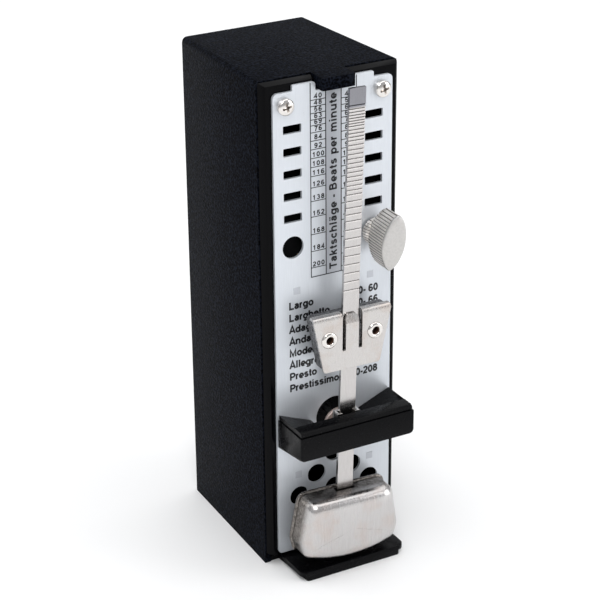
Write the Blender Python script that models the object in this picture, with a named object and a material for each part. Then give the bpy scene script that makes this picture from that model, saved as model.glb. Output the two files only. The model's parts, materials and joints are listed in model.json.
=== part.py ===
"""Small wind-up pendulum metronome in a tall narrow case, with its front cover taken off.

Metres, +Z up. X runs to the right, the front faces -Y, and the origin is at the bottom centre of
the whole object's box. Depths are given from the case's front rim: minus is towards the viewer.
"""

import math

import bmesh
import bpy
from mathutils import Matrix, Vector

MM = 0.001
GAP = 0.3 * MM

# Overall sizes
CASE_H = 150.0 * MM
CASE_BACK_H = 149.0 * MM
CASE_HALF_W = 21.65 * MM
CASE_BACK_HALF_W = 20.2 * MM
CASE_DEPTH = 50.3 * MM
CASE_WALL = 1.9 * MM
CASE_ROUND = 1.6 * MM
FRONT_TAPER = 0.021
FRONT_REACH = 17.3 * MM
RIM_Y = (FRONT_REACH - CASE_DEPTH) / 2
TONGUE_HALF_W = 5.2 * MM
TONGUE_T = 3.6 * MM
TONGUE_REACH = 6.7 * MM

# Front frame and scale plate
FRAME_FACE = -2.4 * MM
FRAME_HALF_W = 20.0 * MM
FRAME_TOP = 148.9 * MM
FRAME_BOTTOM = 3.4 * MM
FRAME_OPEN_HALF_W = 16.2 * MM
FRAME_LIP_HALF_W = 19.4 * MM
KEY_BAY_HALF_W = 18.7 * MM
FRAME_LIP_END = 1.5 * MM
PLATE_FRONT = -3.3 * MM
PLATE_T = 0.6 * MM
PLATE_HALF_W = 18.7 * MM
PLATE_BOTTOM = 4.1 * MM
PLATE_SHOULDER = 146.75 * MM
PLATE_TAB_TOP = 148.4 * MM
PLATE_TAB_IN = 5.6 * MM
PLATE_TAB_OUT = 12.7 * MM
PLATE_NOTCH = 145.9 * MM
PLATE_SCREW_X = 15.16 * MM
PLATE_SCREW_Z = 143.0 * MM
PLATE_SCREW_HEAD_R = 2.4 * MM
PLATE_SCREW_HEAD_T = 1.7 * MM
SLOT_X = 12.83 * MM
SLOT_TOP_Z = 136.04 * MM
SLOT_PITCH = 6.5 * MM
SLOT_LENGTH = 5.65 * MM
SLOT_HEIGHT = 2.4 * MM
SLOT_COUNT = 5
PEG_X = 13.5 * MM
PEG_Z = 44.6 * MM
PEG_R = 1.2 * MM
SOUND_HOLE_R = 3.0 * MM
SOUND_HOLE_PITCH = 5.85 * MM
SOUND_HOLE_Z = 21.9 * MM

# Pendulum
PIVOT_Z = 45.8 * MM
PIVOT_HOLE_R = 5.9 * MM
TILT = math.radians(1.9)
ROD_FRONT = -10.9 * MM
ROD_T = 1.0 * MM
ROD_HALF_W = 2.55 * MM
ROD_TOP = 101.6 * MM
ROD_BOTTOM = -37.0 * MM
NOTCH_DEPTH = 0.3 * MM
HUB_FRONT = -6.5 * MM
HUB_R = 4.6 * MM
HUB_DROP = 1.25 * MM
SLIDER_FRONT = -12.3 * MM
SLIDER_BACK = -7.4 * MM
SLIDER_TOP = 36.2 * MM
SLIDER_BOTTOM = 18.9 * MM
SLIDER_TOP_HALF_W = 12.8 * MM
SLIDER_BOTTOM_HALF_W = 9.1 * MM
SLIDER_SHEET = 0.8 * MM
SLIDER_LEAN = math.radians(-1.1)
SLIT_IN = 2.1 * MM
SLIT_OUT = 3.2 * MM
SLIT_BOTTOM = 24.7 * MM
EYELET_X = 7.45 * MM
EYELET_Z = 29.0 * MM
EYELET_HOLE_R = 1.7 * MM
BOB_FRONT = -17.1 * MM
BOB_BACK = -7.7 * MM
BOB_TOP = -20.6 * MM
BOB_WALL = 0.9 * MM

# Crossbar in front of the pivot, and the tray under the bob
BAR_HALF_W = 18.6 * MM
BAR_TOP = 50.4 * MM
BAR_FRONT_BOTTOM = 41.4 * MM
BAR_BACK_BOTTOM = 39.7 * MM
BAR_WALL_BACK = -12.6 * MM
BAR_POCKET_HALF_W = 7.9 * MM
BAR_VALLEY = 46.1 * MM
TRAY_FRONT = -15.2 * MM
TRAY_TOP = 3.0 * MM
TRAY_STEP = 1.5 * MM

# Winding and gear train
KEY_X = 12.9 * MM
KEY_Z = 101.3 * MM
KEY_FRONT = -15.0 * MM
KEY_HALF_H = 8.2 * MM
KEY_LEAN = math.radians(10.8)
BARREL_Z = 86.9 * MM
WINDING_TEETH = (12, 36)
TRAIN_TEETH = (48, 8)
CONTRATE_TEETH = (32, 8)
RATCHET_TEETH = 24
ESCAPE_TEETH = 15
CENTRE_Z = 67.4 * MM
CONTRATE_R = 9.0 * MM
ESCAPE_PINION_R = CONTRATE_R * CONTRATE_TEETH[1] / CONTRATE_TEETH[0]
ESCAPE_Y = 15.0 * MM
ESCAPE_R = 7.6 * MM
PALLET_R = 3.2 * MM
FRONT_PLATE = (1.8 * MM, 3.0 * MM)
REAR_PLATE = (30.5 * MM, 31.7 * MM)
PILLAR_X = 13.6 * MM
PILLAR_Z = (40.5 * MM, 111.5 * MM)
MOVEMENT_SCREW_X = 17.6 * MM
CORNERS = {(-1, 0): "lower_left", (1, 0): "lower_right", (-1, 1): "upper_left", (1, 1): "upper_right"}

CLICK_PIVOT = (9.2 * MM, 90.9 * MM)
CLICK_REST_DEG = -18.0
CLICK_Y = (0.3 * MM, 1.3 * MM)
BRACKET_SCREW_Z = (56.6 * MM, 61.4 * MM)
BRACKET_ARMS = (54.2 * MM, 55.2 * MM, 62.4 * MM, 63.4 * MM)
RATCHET_TIP_R = 6.4 * MM

TEMPOS = [*range(40, 60, 2), *range(60, 72, 3), *range(72, 120, 4), *range(120, 144, 6),
          *range(144, 209, 8)]


def clear_scene():
    for obj in list(bpy.data.objects):
        bpy.data.objects.remove(obj, do_unlink=True)


def material(name, colour, roughness, metallic=0.0):
    mat = bpy.data.materials.new(name)
    mat.use_nodes = True
    shader = mat.node_tree.nodes["Principled BSDF"]
    shader.inputs["Base Color"].default_value = (*colour, 1.0)
    shader.inputs["Roughness"].default_value = roughness
    shader.inputs["Metallic"].default_value = metallic
    mat.diffuse_color = (*colour, 1.0)
    return mat


def depth(offset):
    """World Y of a depth given from the case's front rim."""
    return RIM_Y + offset


def axis_point(axis, u, v, along):
    """Point with in-plane coordinates u, v and a position along the axis."""
    if axis == "X":
        return Vector((along, u, v))
    if axis == "Y":
        return Vector((u, along, v))
    return Vector((u, v, along))


def finish_mesh(bm):
    bmesh.ops.recalc_face_normals(bm, faces=bm.faces[:])
    return bm


def extruded(outline, holes, axis, low, high):
    """Closed solid from a flat outline with holes, between two positions along an axis."""
    flat = bmesh.new()
    loops = []
    for points in [outline, *holes]:
        verts = [flat.verts.new(axis_point(axis, u, v, 0.0)) for u, v in points]
        loops.append(verts)
        for a, b in zip(verts, verts[1:] + verts[:1]):
            flat.edges.new((a, b))
    bmesh.ops.triangle_fill(flat, use_beauty=True, edges=flat.edges[:])
    flat.verts.index_update()
    bm = bmesh.new()
    caps = []
    for along in (low, high):
        shift = axis_point(axis, 0.0, 0.0, along)
        caps.append([bm.verts.new(v.co + shift) for v in flat.verts])
    for face in flat.faces:
        corners = [v.index for v in face.verts]
        bm.faces.new([caps[0][i] for i in corners])
        bm.faces.new([caps[1][i] for i in reversed(corners)])
    for loop in loops:
        indices = [v.index for v in loop]
        for i, j in zip(indices, indices[1:] + indices[:1]):
            bm.faces.new((caps[0][i], caps[0][j], caps[1][j], caps[1][i]))
    flat.free()
    return finish_mesh(bm)


def lofted(sections):
    """Closed solid through rings of points, with flat ends."""
    bm = bmesh.new()
    rings = [[bm.verts.new(p) for p in ring] for ring in sections]
    count = len(rings[0])
    for ring, following in zip(rings, rings[1:]):
        for i in range(count):
            j = (i + 1) % count
            bm.faces.new((ring[i], ring[j], following[j], following[i]))
    bm.faces.new(rings[0])
    bm.faces.new(rings[-1])
    return finish_mesh(bm)


def turned(profile, axis, centre, segments):
    """Closed solid of revolution; profile is (radius, along) and closes on itself or on the axis."""
    bm = bmesh.new()
    rings = []
    for radius, along in profile:
        count = 1 if radius == 0.0 else segments
        ring = []
        for i in range(count):
            angle = 2 * math.pi * i / segments
            u = centre[0] + radius * math.cos(angle)
            v = centre[1] + radius * math.sin(angle)
            ring.append(bm.verts.new(axis_point(axis, u, v, along)))
        rings.append(ring)
    on_axis = profile[0][0] == 0.0
    pairs = list(zip(rings, rings[1:])) if on_axis else list(zip(rings, rings[1:] + rings[:1]))
    for first, second in pairs:
        for i in range(segments):
            j = (i + 1) % segments
            corners = [first[i % len(first)], first[j % len(first)],
                       second[j % len(second)], second[i % len(second)]]
            unique = list(dict.fromkeys(corners))
            if len(unique) > 2:
                bm.faces.new(unique)
    return finish_mesh(bm)


def rod_solid(radius, axis, centre, low, high, segments=16):
    return turned([(0.0, low), (radius, low), (radius, high), (0.0, high)], axis, centre, segments)


def tube_solid(inner, outer, axis, centre, low, high, segments=16):
    profile = [(inner, low), (outer, low), (outer, high), (inner, high)]
    return turned(profile, axis, centre, segments)


def box_solid(x_range, y_range, z_range):
    outline = rectangle(*x_range, *y_range)
    return extruded(outline, [], "Z", *z_range)


def merged(*parts):
    """Several closed solids in one mesh, kept as separate bodies."""
    bm = bmesh.new()
    for part in parts:
        mesh = bpy.data.meshes.new("merge")
        part.to_mesh(mesh)
        part.free()
        bm.from_mesh(mesh)
        bpy.data.meshes.remove(mesh)
    return bm


def rectangle(u0, u1, v0, v1):
    return [(u0, v0), (u1, v0), (u1, v1), (u0, v1)]


def circle(u, v, radius, segments=16):
    step = 2 * math.pi / segments
    return [(u + radius * math.cos(i * step), v + radius * math.sin(i * step))
            for i in range(segments)]


def rounded(points, steps=3):
    """Outline whose corners (u, v, radius) are rounded with arcs of a few steps."""
    result = []
    count = len(points)
    for i, (u, v, radius) in enumerate(points):
        corner = Vector((u, v))
        if radius == 0.0:
            result.append((u, v))
            continue
        before = Vector(points[i - 1][:2]) - corner
        after = Vector(points[(i + 1) % count][:2]) - corner
        half = before.angle(after) / 2
        reach = radius / math.tan(half)
        centre = corner + (before.normalized() + after.normalized()).normalized() * radius / math.sin(half)
        start = corner + before.normalized() * reach - centre
        turn = math.pi - 2 * half
        if before.cross(after) > 0:
            turn = -turn
        for k in range(steps + 1):
            angle = turn * k / steps
            cos_a, sin_a = math.cos(angle), math.sin(angle)
            result.append((centre.x + start.x * cos_a - start.y * sin_a,
                           centre.y + start.x * sin_a + start.y * cos_a))
    return result


def gear_outline(teeth, pitch_r, centre, phase=0.0, addendum=0.75, dedendum=1.15):
    """Straight-sided gear teeth with running clearance on both flanks."""
    module = 2 * pitch_r / teeth
    pitch_angle = 2 * math.pi / teeth
    steps = [(pitch_r - dedendum * module, -0.235), (pitch_r + addendum * module, -0.09),
             (pitch_r + addendum * module, 0.09), (pitch_r - dedendum * module, 0.235)]
    outline = []
    for i in range(teeth):
        for radius, share in steps:
            angle = phase + (i + share) * pitch_angle
            outline.append((centre[0] + radius * math.cos(angle), centre[1] + radius * math.sin(angle)))
    return outline


def ratchet_outline(teeth, tip_r, root_r, centre):
    outline = []
    for i in range(teeth):
        angle = 2 * math.pi * i / teeth
        outline.append((centre[0] + tip_r * math.cos(angle), centre[1] + tip_r * math.sin(angle)))
        angle += 0.15 * 2 * math.pi / teeth
        outline.append((centre[0] + root_r * math.cos(angle), centre[1] + root_r * math.sin(angle)))
    return outline


def add(name, bm, mat, parent=None):
    mesh = bpy.data.meshes.new(name)
    bm.to_mesh(mesh)
    bm.free()
    mesh.materials.append(mat)
    mesh.shade_smooth()
    mesh.set_sharp_from_angle(angle=math.radians(32))
    obj = bpy.data.objects.new(name, mesh)
    bpy.context.scene.collection.objects.link(obj)
    obj.parent = parent
    return obj


def add_axis(name, x, z, y=0.0, tilt=0.0):
    empty = bpy.data.objects.new(name, None)
    empty.empty_display_size = 0.01
    empty.location = (x, y, z)
    empty.rotation_euler = (0.0, tilt, 0.0)
    bpy.context.scene.collection.objects.link(empty)
    return empty


def boolean(obj, cutter_bm, operation="DIFFERENCE"):
    """Cut or join with a hidden helper solid."""
    mesh = bpy.data.meshes.new(obj.name + "_cutter")
    cutter_bm.to_mesh(mesh)
    cutter_bm.free()
    cutter = bpy.data.objects.new(mesh.name, mesh)
    bpy.context.scene.collection.objects.link(cutter)
    cutter.parent = obj.parent
    cutter.hide_render = True
    cutter.display_type = "WIRE"
    modifier = obj.modifiers.new(operation.title(), "BOOLEAN")
    modifier.operation = operation
    modifier.solver = "EXACT"
    modifier.object = cutter
    return modifier


# Casing

def case_section(inset, y, half_w, top, bottom, radius):
    """Rounded rectangle across the case at one depth."""
    corners = [(-half_w + inset, bottom, 0.0), (half_w - inset, bottom, 0.0),
               (half_w - inset, top - inset, radius), (-half_w + inset, top - inset, radius)]
    return [Vector((x, y, z)) for x, z in rounded(corners, steps=5)]


def tapered(bm):
    """Widens the front a little towards the top, fading out towards the back."""
    for vert in bm.verts:
        frontness = min(1.0, 1.0 - (vert.co.y - RIM_Y) / CASE_DEPTH)
        vert.co.x *= 1.0 + FRONT_TAPER * frontness * vert.co.z / CASE_H
    return bm


def make_case_shell(mat):
    back_round = 1.3 * MM
    back_y = depth(CASE_DEPTH)
    sections = [case_section(0.0, depth(0.0), CASE_HALF_W, CASE_H, 0.0, CASE_ROUND),
                case_section(0.0, back_y - back_round, CASE_BACK_HALF_W, CASE_BACK_H, 0.0, CASE_ROUND),
                case_section(0.3 * back_round, back_y - 0.3 * back_round, CASE_BACK_HALF_W,
                             CASE_BACK_H, 0.0, CASE_ROUND),
                case_section(back_round, back_y, CASE_BACK_HALF_W, CASE_BACK_H, 0.0, CASE_ROUND)]
    shell = add("case_shell", tapered(lofted(sections)), mat)
    below = -2 * MM
    cavity = [case_section(CASE_WALL, depth(-2 * MM), CASE_HALF_W, CASE_H, below, 0.4 * MM),
              case_section(CASE_WALL, back_y - CASE_WALL, CASE_BACK_HALF_W, CASE_BACK_H, below, 0.4 * MM)]
    boolean(shell, tapered(lofted(cavity)))
    tongue_low = CASE_H - TONGUE_T
    tongue = rounded([(-TONGUE_HALF_W, depth(1.0 * MM), 0.0), (TONGUE_HALF_W, depth(1.0 * MM), 0.0),
                      (TONGUE_HALF_W, depth(-TONGUE_REACH), 0.8 * MM),
                      (-TONGUE_HALF_W, depth(-TONGUE_REACH), 0.8 * MM)])
    boolean(shell, extruded(tongue, [], "Z", tongue_low, CASE_H), "UNION")
    boss_sections = []
    for x in (-13.5 * MM, 13.5 * MM):
        boss_sections.append(box_solid((x - 2.4 * MM, x + 2.4 * MM),
                                       (back_y - 8 * MM, back_y - 1.0 * MM), (3 * MM, 9 * MM)))
    boolean(shell, merged(*boss_sections), "UNION")
    bores = [rod_solid(1.4 * MM, "Z", (x, back_y - 5.2 * MM), 2 * MM, 7.5 * MM, 12)
             for x in (-13.5 * MM, 13.5 * MM)]
    boolean(shell, merged(*bores))
    return shell


def make_front_frame(mat):
    """Ring that carries the scale plate; its outer side slopes back to the case's rim."""
    rim_half_w = CASE_HALF_W - 0.35 * MM
    rim_top = CASE_H - 0.35 * MM

    def ring(half_w, top, y):
        return [Vector((-half_w, y, FRAME_BOTTOM)), Vector((half_w, y, FRAME_BOTTOM)),
                Vector((half_w, y, top)), Vector((-half_w, y, top))]

    face = lofted([ring(FRAME_HALF_W, FRAME_TOP, depth(FRAME_FACE)), ring(rim_half_w, rim_top, depth(-GAP))])
    frame = add("front_frame", tapered(face), mat)
    lip_top = CASE_H - CASE_WALL - GAP
    lip = box_solid((-FRAME_LIP_HALF_W, FRAME_LIP_HALF_W), (depth(-0.6 * MM), depth(FRAME_LIP_END)),
                    (FRAME_BOTTOM, lip_top))
    boolean(frame, lip, "UNION")
    opening = rounded([(-FRAME_OPEN_HALF_W, 7 * MM, 1 * MM), (FRAME_OPEN_HALF_W, 7 * MM, 1 * MM),
                       (FRAME_OPEN_HALF_W, 40.5 * MM, 0.0), (9.5 * MM, 40.5 * MM, 1 * MM),
                       (9.5 * MM, 48.6 * MM, 1 * MM), (FRAME_OPEN_HALF_W, 48.6 * MM, 0.0),
                       (FRAME_OPEN_HALF_W, 138.5 * MM, 1 * MM), (-FRAME_OPEN_HALF_W, 138.5 * MM, 1 * MM),
                       (-FRAME_OPEN_HALF_W, 48.6 * MM, 0.0), (-9.5 * MM, 48.6 * MM, 1 * MM),
                       (-9.5 * MM, 40.5 * MM, 1 * MM), (-FRAME_OPEN_HALF_W, 40.5 * MM, 0.0)])
    boolean(frame, extruded(opening, [], "Y", depth(-5 * MM), depth(5 * MM)))
    notch_half = TONGUE_HALF_W + GAP
    cuts = [box_solid((-notch_half, notch_half), (depth(-5 * MM), depth(2 * MM)),
                      (CASE_H - TONGUE_T - GAP, CASE_H + 1 * MM))]
    for side in (-1, 1):
        cuts.append(rod_solid(1.55 * MM, "Y", (side * PLATE_SCREW_X, PLATE_SCREW_Z),
                              depth(-5 * MM), depth(0.9 * MM), 12))
        cuts.append(rod_solid(PEG_R + GAP, "Y", (side * PEG_X, PEG_Z), depth(-5 * MM), depth(5 * MM), 12))
        for z in PILLAR_Z:
            cuts.append(rod_solid(1.0 * MM, "Y", (side * MOVEMENT_SCREW_X, z),
                                  depth(-1.6 * MM), depth(5 * MM), 12))
        cuts.append(box_solid(sorted((side * 8 * MM, side * KEY_BAY_HALF_W)), (depth(-5 * MM), depth(5 * MM)),
                              (KEY_Z - 8.2 * MM, KEY_Z + 8.2 * MM)))
    boolean(frame, merged(*cuts))
    return frame


def sound_hole_centres():
    """Six holes in two rows and a single one at the top, on a diagonal grid."""
    step = SOUND_HOLE_PITCH
    return [(0.0, SOUND_HOLE_Z + 2 * step), (-step, SOUND_HOLE_Z + step), (step, SOUND_HOLE_Z + step),
            (-2 * step, SOUND_HOLE_Z), (0.0, SOUND_HOLE_Z), (2 * step, SOUND_HOLE_Z)]


def make_scale_plate(mat):
    side = [(PLATE_HALF_W, PLATE_BOTTOM, 1.2 * MM), (PLATE_HALF_W, PLATE_SHOULDER, 1.5 * MM),
            (PLATE_TAB_OUT, PLATE_SHOULDER, 0.0), (PLATE_TAB_OUT, PLATE_TAB_TOP, 0.5 * MM),
            (PLATE_TAB_IN, PLATE_TAB_TOP, 0.8 * MM), (PLATE_TAB_IN, PLATE_NOTCH, 0.0)]
    outline = rounded(side + [(-u, v, r) for u, v, r in reversed(side)])
    holes = []
    for side_sign in (-1, 1):
        for i in range(SLOT_COUNT):
            u, v = side_sign * SLOT_X, SLOT_TOP_Z - i * SLOT_PITCH
            holes.append(rectangle(u - SLOT_LENGTH / 2, u + SLOT_LENGTH / 2,
                                   v - SLOT_HEIGHT / 2, v + SLOT_HEIGHT / 2))
        holes.append(circle(side_sign * PLATE_SCREW_X, PLATE_SCREW_Z, 1.6 * MM, 12))
        holes.append(circle(side_sign * KEY_X, KEY_Z, 3.3 * MM))
        holes.append(circle(side_sign * PEG_X, PEG_Z, PEG_R + GAP, 12))
    holes.append(circle(0.0, PIVOT_Z, PIVOT_HOLE_R, 24))
    holes += [circle(u, v, SOUND_HOLE_R) for u, v in sound_hole_centres()]
    return add("scale_plate", extruded(outline, holes, "Y", depth(PLATE_FRONT),
                                       depth(PLATE_FRONT + PLATE_T)), mat)


def make_crossbar(mat):
    back = PLATE_FRONT - GAP
    corner = 1.3 * MM
    front_face = rounded([(-BAR_HALF_W, BAR_FRONT_BOTTOM, corner), (BAR_HALF_W, BAR_FRONT_BOTTOM, corner),
                          (BAR_HALF_W, BAR_TOP - 0.4 * MM, corner), (-BAR_HALF_W, BAR_TOP - 0.4 * MM, corner)])
    middle = rounded([(-BAR_HALF_W, BAR_FRONT_BOTTOM, 0.5 * MM), (BAR_HALF_W, BAR_FRONT_BOTTOM, 0.5 * MM),
                      (BAR_HALF_W, BAR_TOP, 0.3 * MM), (-BAR_HALF_W, BAR_TOP, 0.3 * MM)])
    rear = rounded([(-BAR_HALF_W, BAR_BACK_BOTTOM, 0.5 * MM), (BAR_HALF_W, BAR_BACK_BOTTOM, 0.5 * MM),
                    (BAR_HALF_W, BAR_TOP, 0.3 * MM), (-BAR_HALF_W, BAR_TOP, 0.3 * MM)])
    sections = []
    for outline, y in ((front_face, depth(-FRONT_REACH)), (middle, depth(-FRONT_REACH + 1.2 * MM)),
                       (rear, depth(back))):
        sections.append([Vector((x, y, z)) for x, z in outline])
    bar = add("crossbar", lofted(sections), mat)
    pegs = [rod_solid(PEG_R, "Y", (side * PEG_X, PEG_Z), depth(back - 1 * MM), depth(0.6 * MM), 12)
            for side in (-1, 1)]
    boolean(bar, merged(*pegs), "UNION")
    valley = [(-BAR_HALF_W, BAR_TOP), (-BAR_POCKET_HALF_W, BAR_VALLEY), (-BAR_POCKET_HALF_W, 30 * MM),
              (BAR_POCKET_HALF_W, 30 * MM), (BAR_POCKET_HALF_W, BAR_VALLEY), (BAR_HALF_W, BAR_TOP),
              (BAR_HALF_W, BAR_TOP + 5 * MM), (-BAR_HALF_W, BAR_TOP + 5 * MM)]
    boolean(bar, extruded(valley, [], "Y", depth(BAR_WALL_BACK), depth(back + 0.2 * MM)))
    return bar


def base_screw_places():
    back_y = depth(CASE_DEPTH) - 5.2 * MM
    return [(-13.5 * MM, back_y), (13.5 * MM, back_y)]


def make_base_tray(mat):
    """Floor of the case that reaches forward as a low tray under the bob."""
    inner_front = CASE_HALF_W - CASE_WALL - GAP
    inner_back = CASE_BACK_HALF_W - CASE_WALL - GAP
    back_y = depth(CASE_DEPTH - CASE_WALL - GAP)
    floor_y = depth(0.4 * MM)
    front_y = depth(TRAY_FRONT)
    lower = rounded([(-inner_back, back_y, 0.0), (-inner_front, floor_y, 0.0), (-16.9 * MM, floor_y, 0.0),
                     (-15.6 * MM, front_y, 0.8 * MM), (15.6 * MM, front_y, 0.8 * MM),
                     (16.9 * MM, floor_y, 0.0), (inner_front, floor_y, 0.0), (inner_back, back_y, 0.0)])
    tray = add("base_tray", extruded(lower, [], "Z", 0.0, TRAY_STEP + 0.1 * MM), mat)
    upper = rounded([(-17.4 * MM, floor_y, 0.0), (-17.4 * MM, front_y, 2.2 * MM),
                     (17.4 * MM, front_y, 2.2 * MM), (17.4 * MM, floor_y, 0.0)], steps=5)
    boolean(tray, extruded(upper, [], "Z", TRAY_STEP, TRAY_TOP), "UNION")
    dish_r = 60 * MM
    dish_y = depth(-8.4 * MM)
    dish_profile = [(0.0, -6.2 * MM), (dish_r, -6.2 * MM), (dish_r, 3.9 * MM), (0.0, 3.9 * MM)]
    dish = turned([(r, dish_y + y) for r, y in dish_profile], "Y", (0.0, dish_r + 2.4 * MM), 96)
    boolean(tray, dish)
    holes = []
    for x, y in base_screw_places():
        profile = [(0.0, -1 * MM), (2.4 * MM, -1 * MM), (2.4 * MM, 0.9 * MM), (1.3 * MM, 0.9 * MM),
                   (1.3 * MM, 4 * MM), (0.0, 4 * MM)]
        holes.append(turned(profile, "Z", (x, y), 12))
    boolean(tray, merged(*holes))
    return tray


# Fasteners

def pan_screw(centre, head_y, shank_end, head_r, shank_r, head_t, segments=20):
    """Screw along Y with its domed head towards the viewer."""
    profile = [(0.0, head_y), (0.6 * head_r, head_y + 0.12 * head_t), (0.92 * head_r, head_y + 0.5 * head_t),
               (head_r, head_y + head_t), (shank_r, head_y + head_t), (shank_r, shank_end), (0.0, shank_end)]
    return turned(profile, "Y", centre, segments)


def rear_screw(centre, head_y, shank_end, head_r, shank_r, head_t):
    """Screw along Y with its head towards the back."""
    profile = [(0.0, shank_end), (shank_r, shank_end), (shank_r, head_y - head_t),
               (head_r, head_y - head_t), (head_r, head_y), (0.0, head_y)]
    return turned(profile, "Y", centre, 12)


def make_fasteners(steel):
    for side, word in ((-1, "left"), (1, "right")):
        screw = pan_screw((side * PLATE_SCREW_X, PLATE_SCREW_Z), depth(PLATE_FRONT - GAP - PLATE_SCREW_HEAD_T),
                          depth(0.5 * MM), PLATE_SCREW_HEAD_R, 1.2 * MM, PLATE_SCREW_HEAD_T)
        obj = add(f"plate_screw_{word}", screw, steel)
        slots = [box_solid((side * PLATE_SCREW_X - w, side * PLATE_SCREW_X + w),
                           (depth(PLATE_FRONT - 3 * MM), depth(PLATE_FRONT - 0.7 * MM)),
                           (PLATE_SCREW_Z - h, PLATE_SCREW_Z + h))
                 for w, h in ((1.5 * MM, 0.3 * MM), (0.3 * MM, 1.5 * MM))]
        for slot in slots:
            boolean(obj, slot)
    for (x, y), word in zip(base_screw_places(), ("left", "right")):
        profile = [(0.0, 0.05 * MM), (2.1 * MM, 0.05 * MM), (2.1 * MM, 0.6 * MM), (1.0 * MM, 0.6 * MM),
                   (1.0 * MM, 6.5 * MM), (0.0, 6.5 * MM)]
        add(f"base_screw_{word}", turned(profile, "Z", (x, y), 12), steel)
    for (side, level), word in CORNERS.items():
        mounting = rear_screw((side * MOVEMENT_SCREW_X, PILLAR_Z[level]), depth(FRONT_PLATE[1] + 1.1 * MM),
                              depth(-1.2 * MM), 1.5 * MM, 0.7 * MM, 0.8 * MM)
        add(f"movement_screw_{word}", mounting, steel)
        screw = rear_screw((side * PILLAR_X, PILLAR_Z[level]), depth(REAR_PLATE[1] + 1.1 * MM),
                           depth(REAR_PLATE[0] - 4 * MM), 1.9 * MM, 0.8 * MM, 0.8 * MM)
        add(f"pillar_screw_{word}", screw, steel)


# Movement frame

def make_movement_plates(mat):
    bush_r = 2.5 * MM
    for name, (near, far), half_w in (("movement_front_plate", FRONT_PLATE, 19.1 * MM),
                                      ("movement_rear_plate", REAR_PLATE, 17.2 * MM)):
        outline = rounded([(-half_w, 37.2 * MM, 2 * MM), (half_w, 37.2 * MM, 2 * MM),
                           (half_w, 114.6 * MM, 2 * MM), (-half_w, 114.6 * MM, 2 * MM)], steps=2)
        holes = [circle(0.0, PIVOT_Z, bush_r, 12), circle(0.0, BARREL_Z, bush_r + 1.0 * MM, 12),
                 circle(0.0, CENTRE_Z, 1.1 * MM, 12), circle(KEY_X, KEY_Z, 1.5 * MM, 12)]
        for side in (-1, 1):
            for z in PILLAR_Z:
                holes.append(circle(side * PILLAR_X, z, 1.1 * MM, 8))
                if name == "movement_front_plate":
                    holes.append(circle(side * MOVEMENT_SCREW_X, z, 1.0 * MM, 8))
        if name == "movement_front_plate":
            holes.append(circle(*CLICK_PIVOT, 1.1 * MM, 8))
        else:
            holes += [circle(0.0, z, 1.0 * MM, 8) for z in BRACKET_SCREW_Z]
        add(name, extruded(outline, holes, "Y", depth(near), depth(far)), mat)


def make_pillars(mat):
    """Pillars with a spigot in the front plate and a threaded bore at the rear."""
    for (side, level), word in CORNERS.items():
        front, back = depth(FRONT_PLATE[1] + GAP), depth(REAR_PLATE[0] - GAP)
        bore_end = back - 5 * MM
        profile = [(0.0, depth(FRONT_PLATE[0])), (0.8 * MM, depth(FRONT_PLATE[0])), (0.8 * MM, front),
                   (2.1 * MM, front), (2.1 * MM, back), (1.1 * MM, back), (1.1 * MM, bore_end),
                   (0.0, bore_end)]
        add(f"pillar_{word}", turned(profile, "Y", (side * PILLAR_X, PILLAR_Z[level]), 12), mat)


def make_bushes(mat):
    for name, centre, inner, outer in (("pendulum", (0.0, PIVOT_Z), 1.1 * MM, 2.2 * MM),
                                       ("barrel", (0.0, BARREL_Z), 2.2 * MM, 3.2 * MM)):
        for word, (near, far) in (("front", FRONT_PLATE), ("rear", REAR_PLATE)):
            bush = tube_solid(inner, outer, "Y", centre, depth(near), depth(far + 0.4 * MM), 16)
            add(f"{name}_{word}_bush", bush, mat)


def make_click(steel, axis):
    """Pawl beside the ratchet wheel, on its shouldered screw, with a wire spring behind it."""
    pivot = Vector(CLICK_PIVOT)
    rest = math.radians(CLICK_REST_DEG)
    tip = Vector((0.0, BARREL_Z)) + Vector((math.cos(rest), math.sin(rest))) * (RATCHET_TIP_R + 0.25 * MM)
    reach = tip - pivot
    direction = reach.normalized()
    across = Vector((-direction.y, direction.x))
    end = direction * reach.length
    body = [-across * 1.5 * MM - direction * 1.4 * MM, across * 1.5 * MM - direction * 1.4 * MM,
            across * 1.6 * MM + direction * 1.6 * MM, across * 0.9 * MM + end, end,
            -across * 1.4 * MM + direction * 1.6 * MM]
    hole = circle(0.0, 0.0, 0.95 * MM, 12)
    click = extruded([(p.x, p.y) for p in body], [hole], "Y", depth(CLICK_Y[0]), depth(CLICK_Y[1]))
    add("click", click, steel, axis)
    screw = pan_screw(CLICK_PIVOT, depth(CLICK_Y[0] - 0.8 * MM), depth(FRONT_PLATE[1]), 1.3 * MM,
                      0.65 * MM, 0.5 * MM, 12)
    add("click_screw", screw, steel)


def make_escape_bracket(mat, steel):
    """C-shaped bracket behind the contrate wheel that holds the upright escape arbor."""
    low0, low1, high0, high1 = BRACKET_ARMS
    front = depth(ESCAPE_Y - 1.1 * MM)
    back = depth(REAR_PLATE[0] - GAP)
    inner = back - 1.2 * MM
    outline = [(front, low0), (back, low0), (back, high1), (front, high1), (front, high0), (inner, high0),
               (inner, low1), (front, low1)]
    bracket = add("escape_bracket", extruded(outline, [], "X", -2.2 * MM, 2.2 * MM), mat)
    cuts = [rod_solid(0.65 * MM, "Z", (0.0, depth(ESCAPE_Y)), low0 - 1 * MM, high1 + 1 * MM, 12)]
    cuts += [rod_solid(0.9 * MM, "Y", (0.0, z), inner - 1 * MM, back + 1 * MM, 8) for z in BRACKET_SCREW_Z]
    boolean(bracket, merged(*cuts))
    for z, word in zip(BRACKET_SCREW_Z, ("lower", "upper")):
        screw = rear_screw((0.0, z), depth(REAR_PLATE[1] + 1.1 * MM), inner + 0.2 * MM, 1.5 * MM, 0.6 * MM,
                           0.8 * MM)
        add(f"bracket_screw_{word}", screw, steel)


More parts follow.
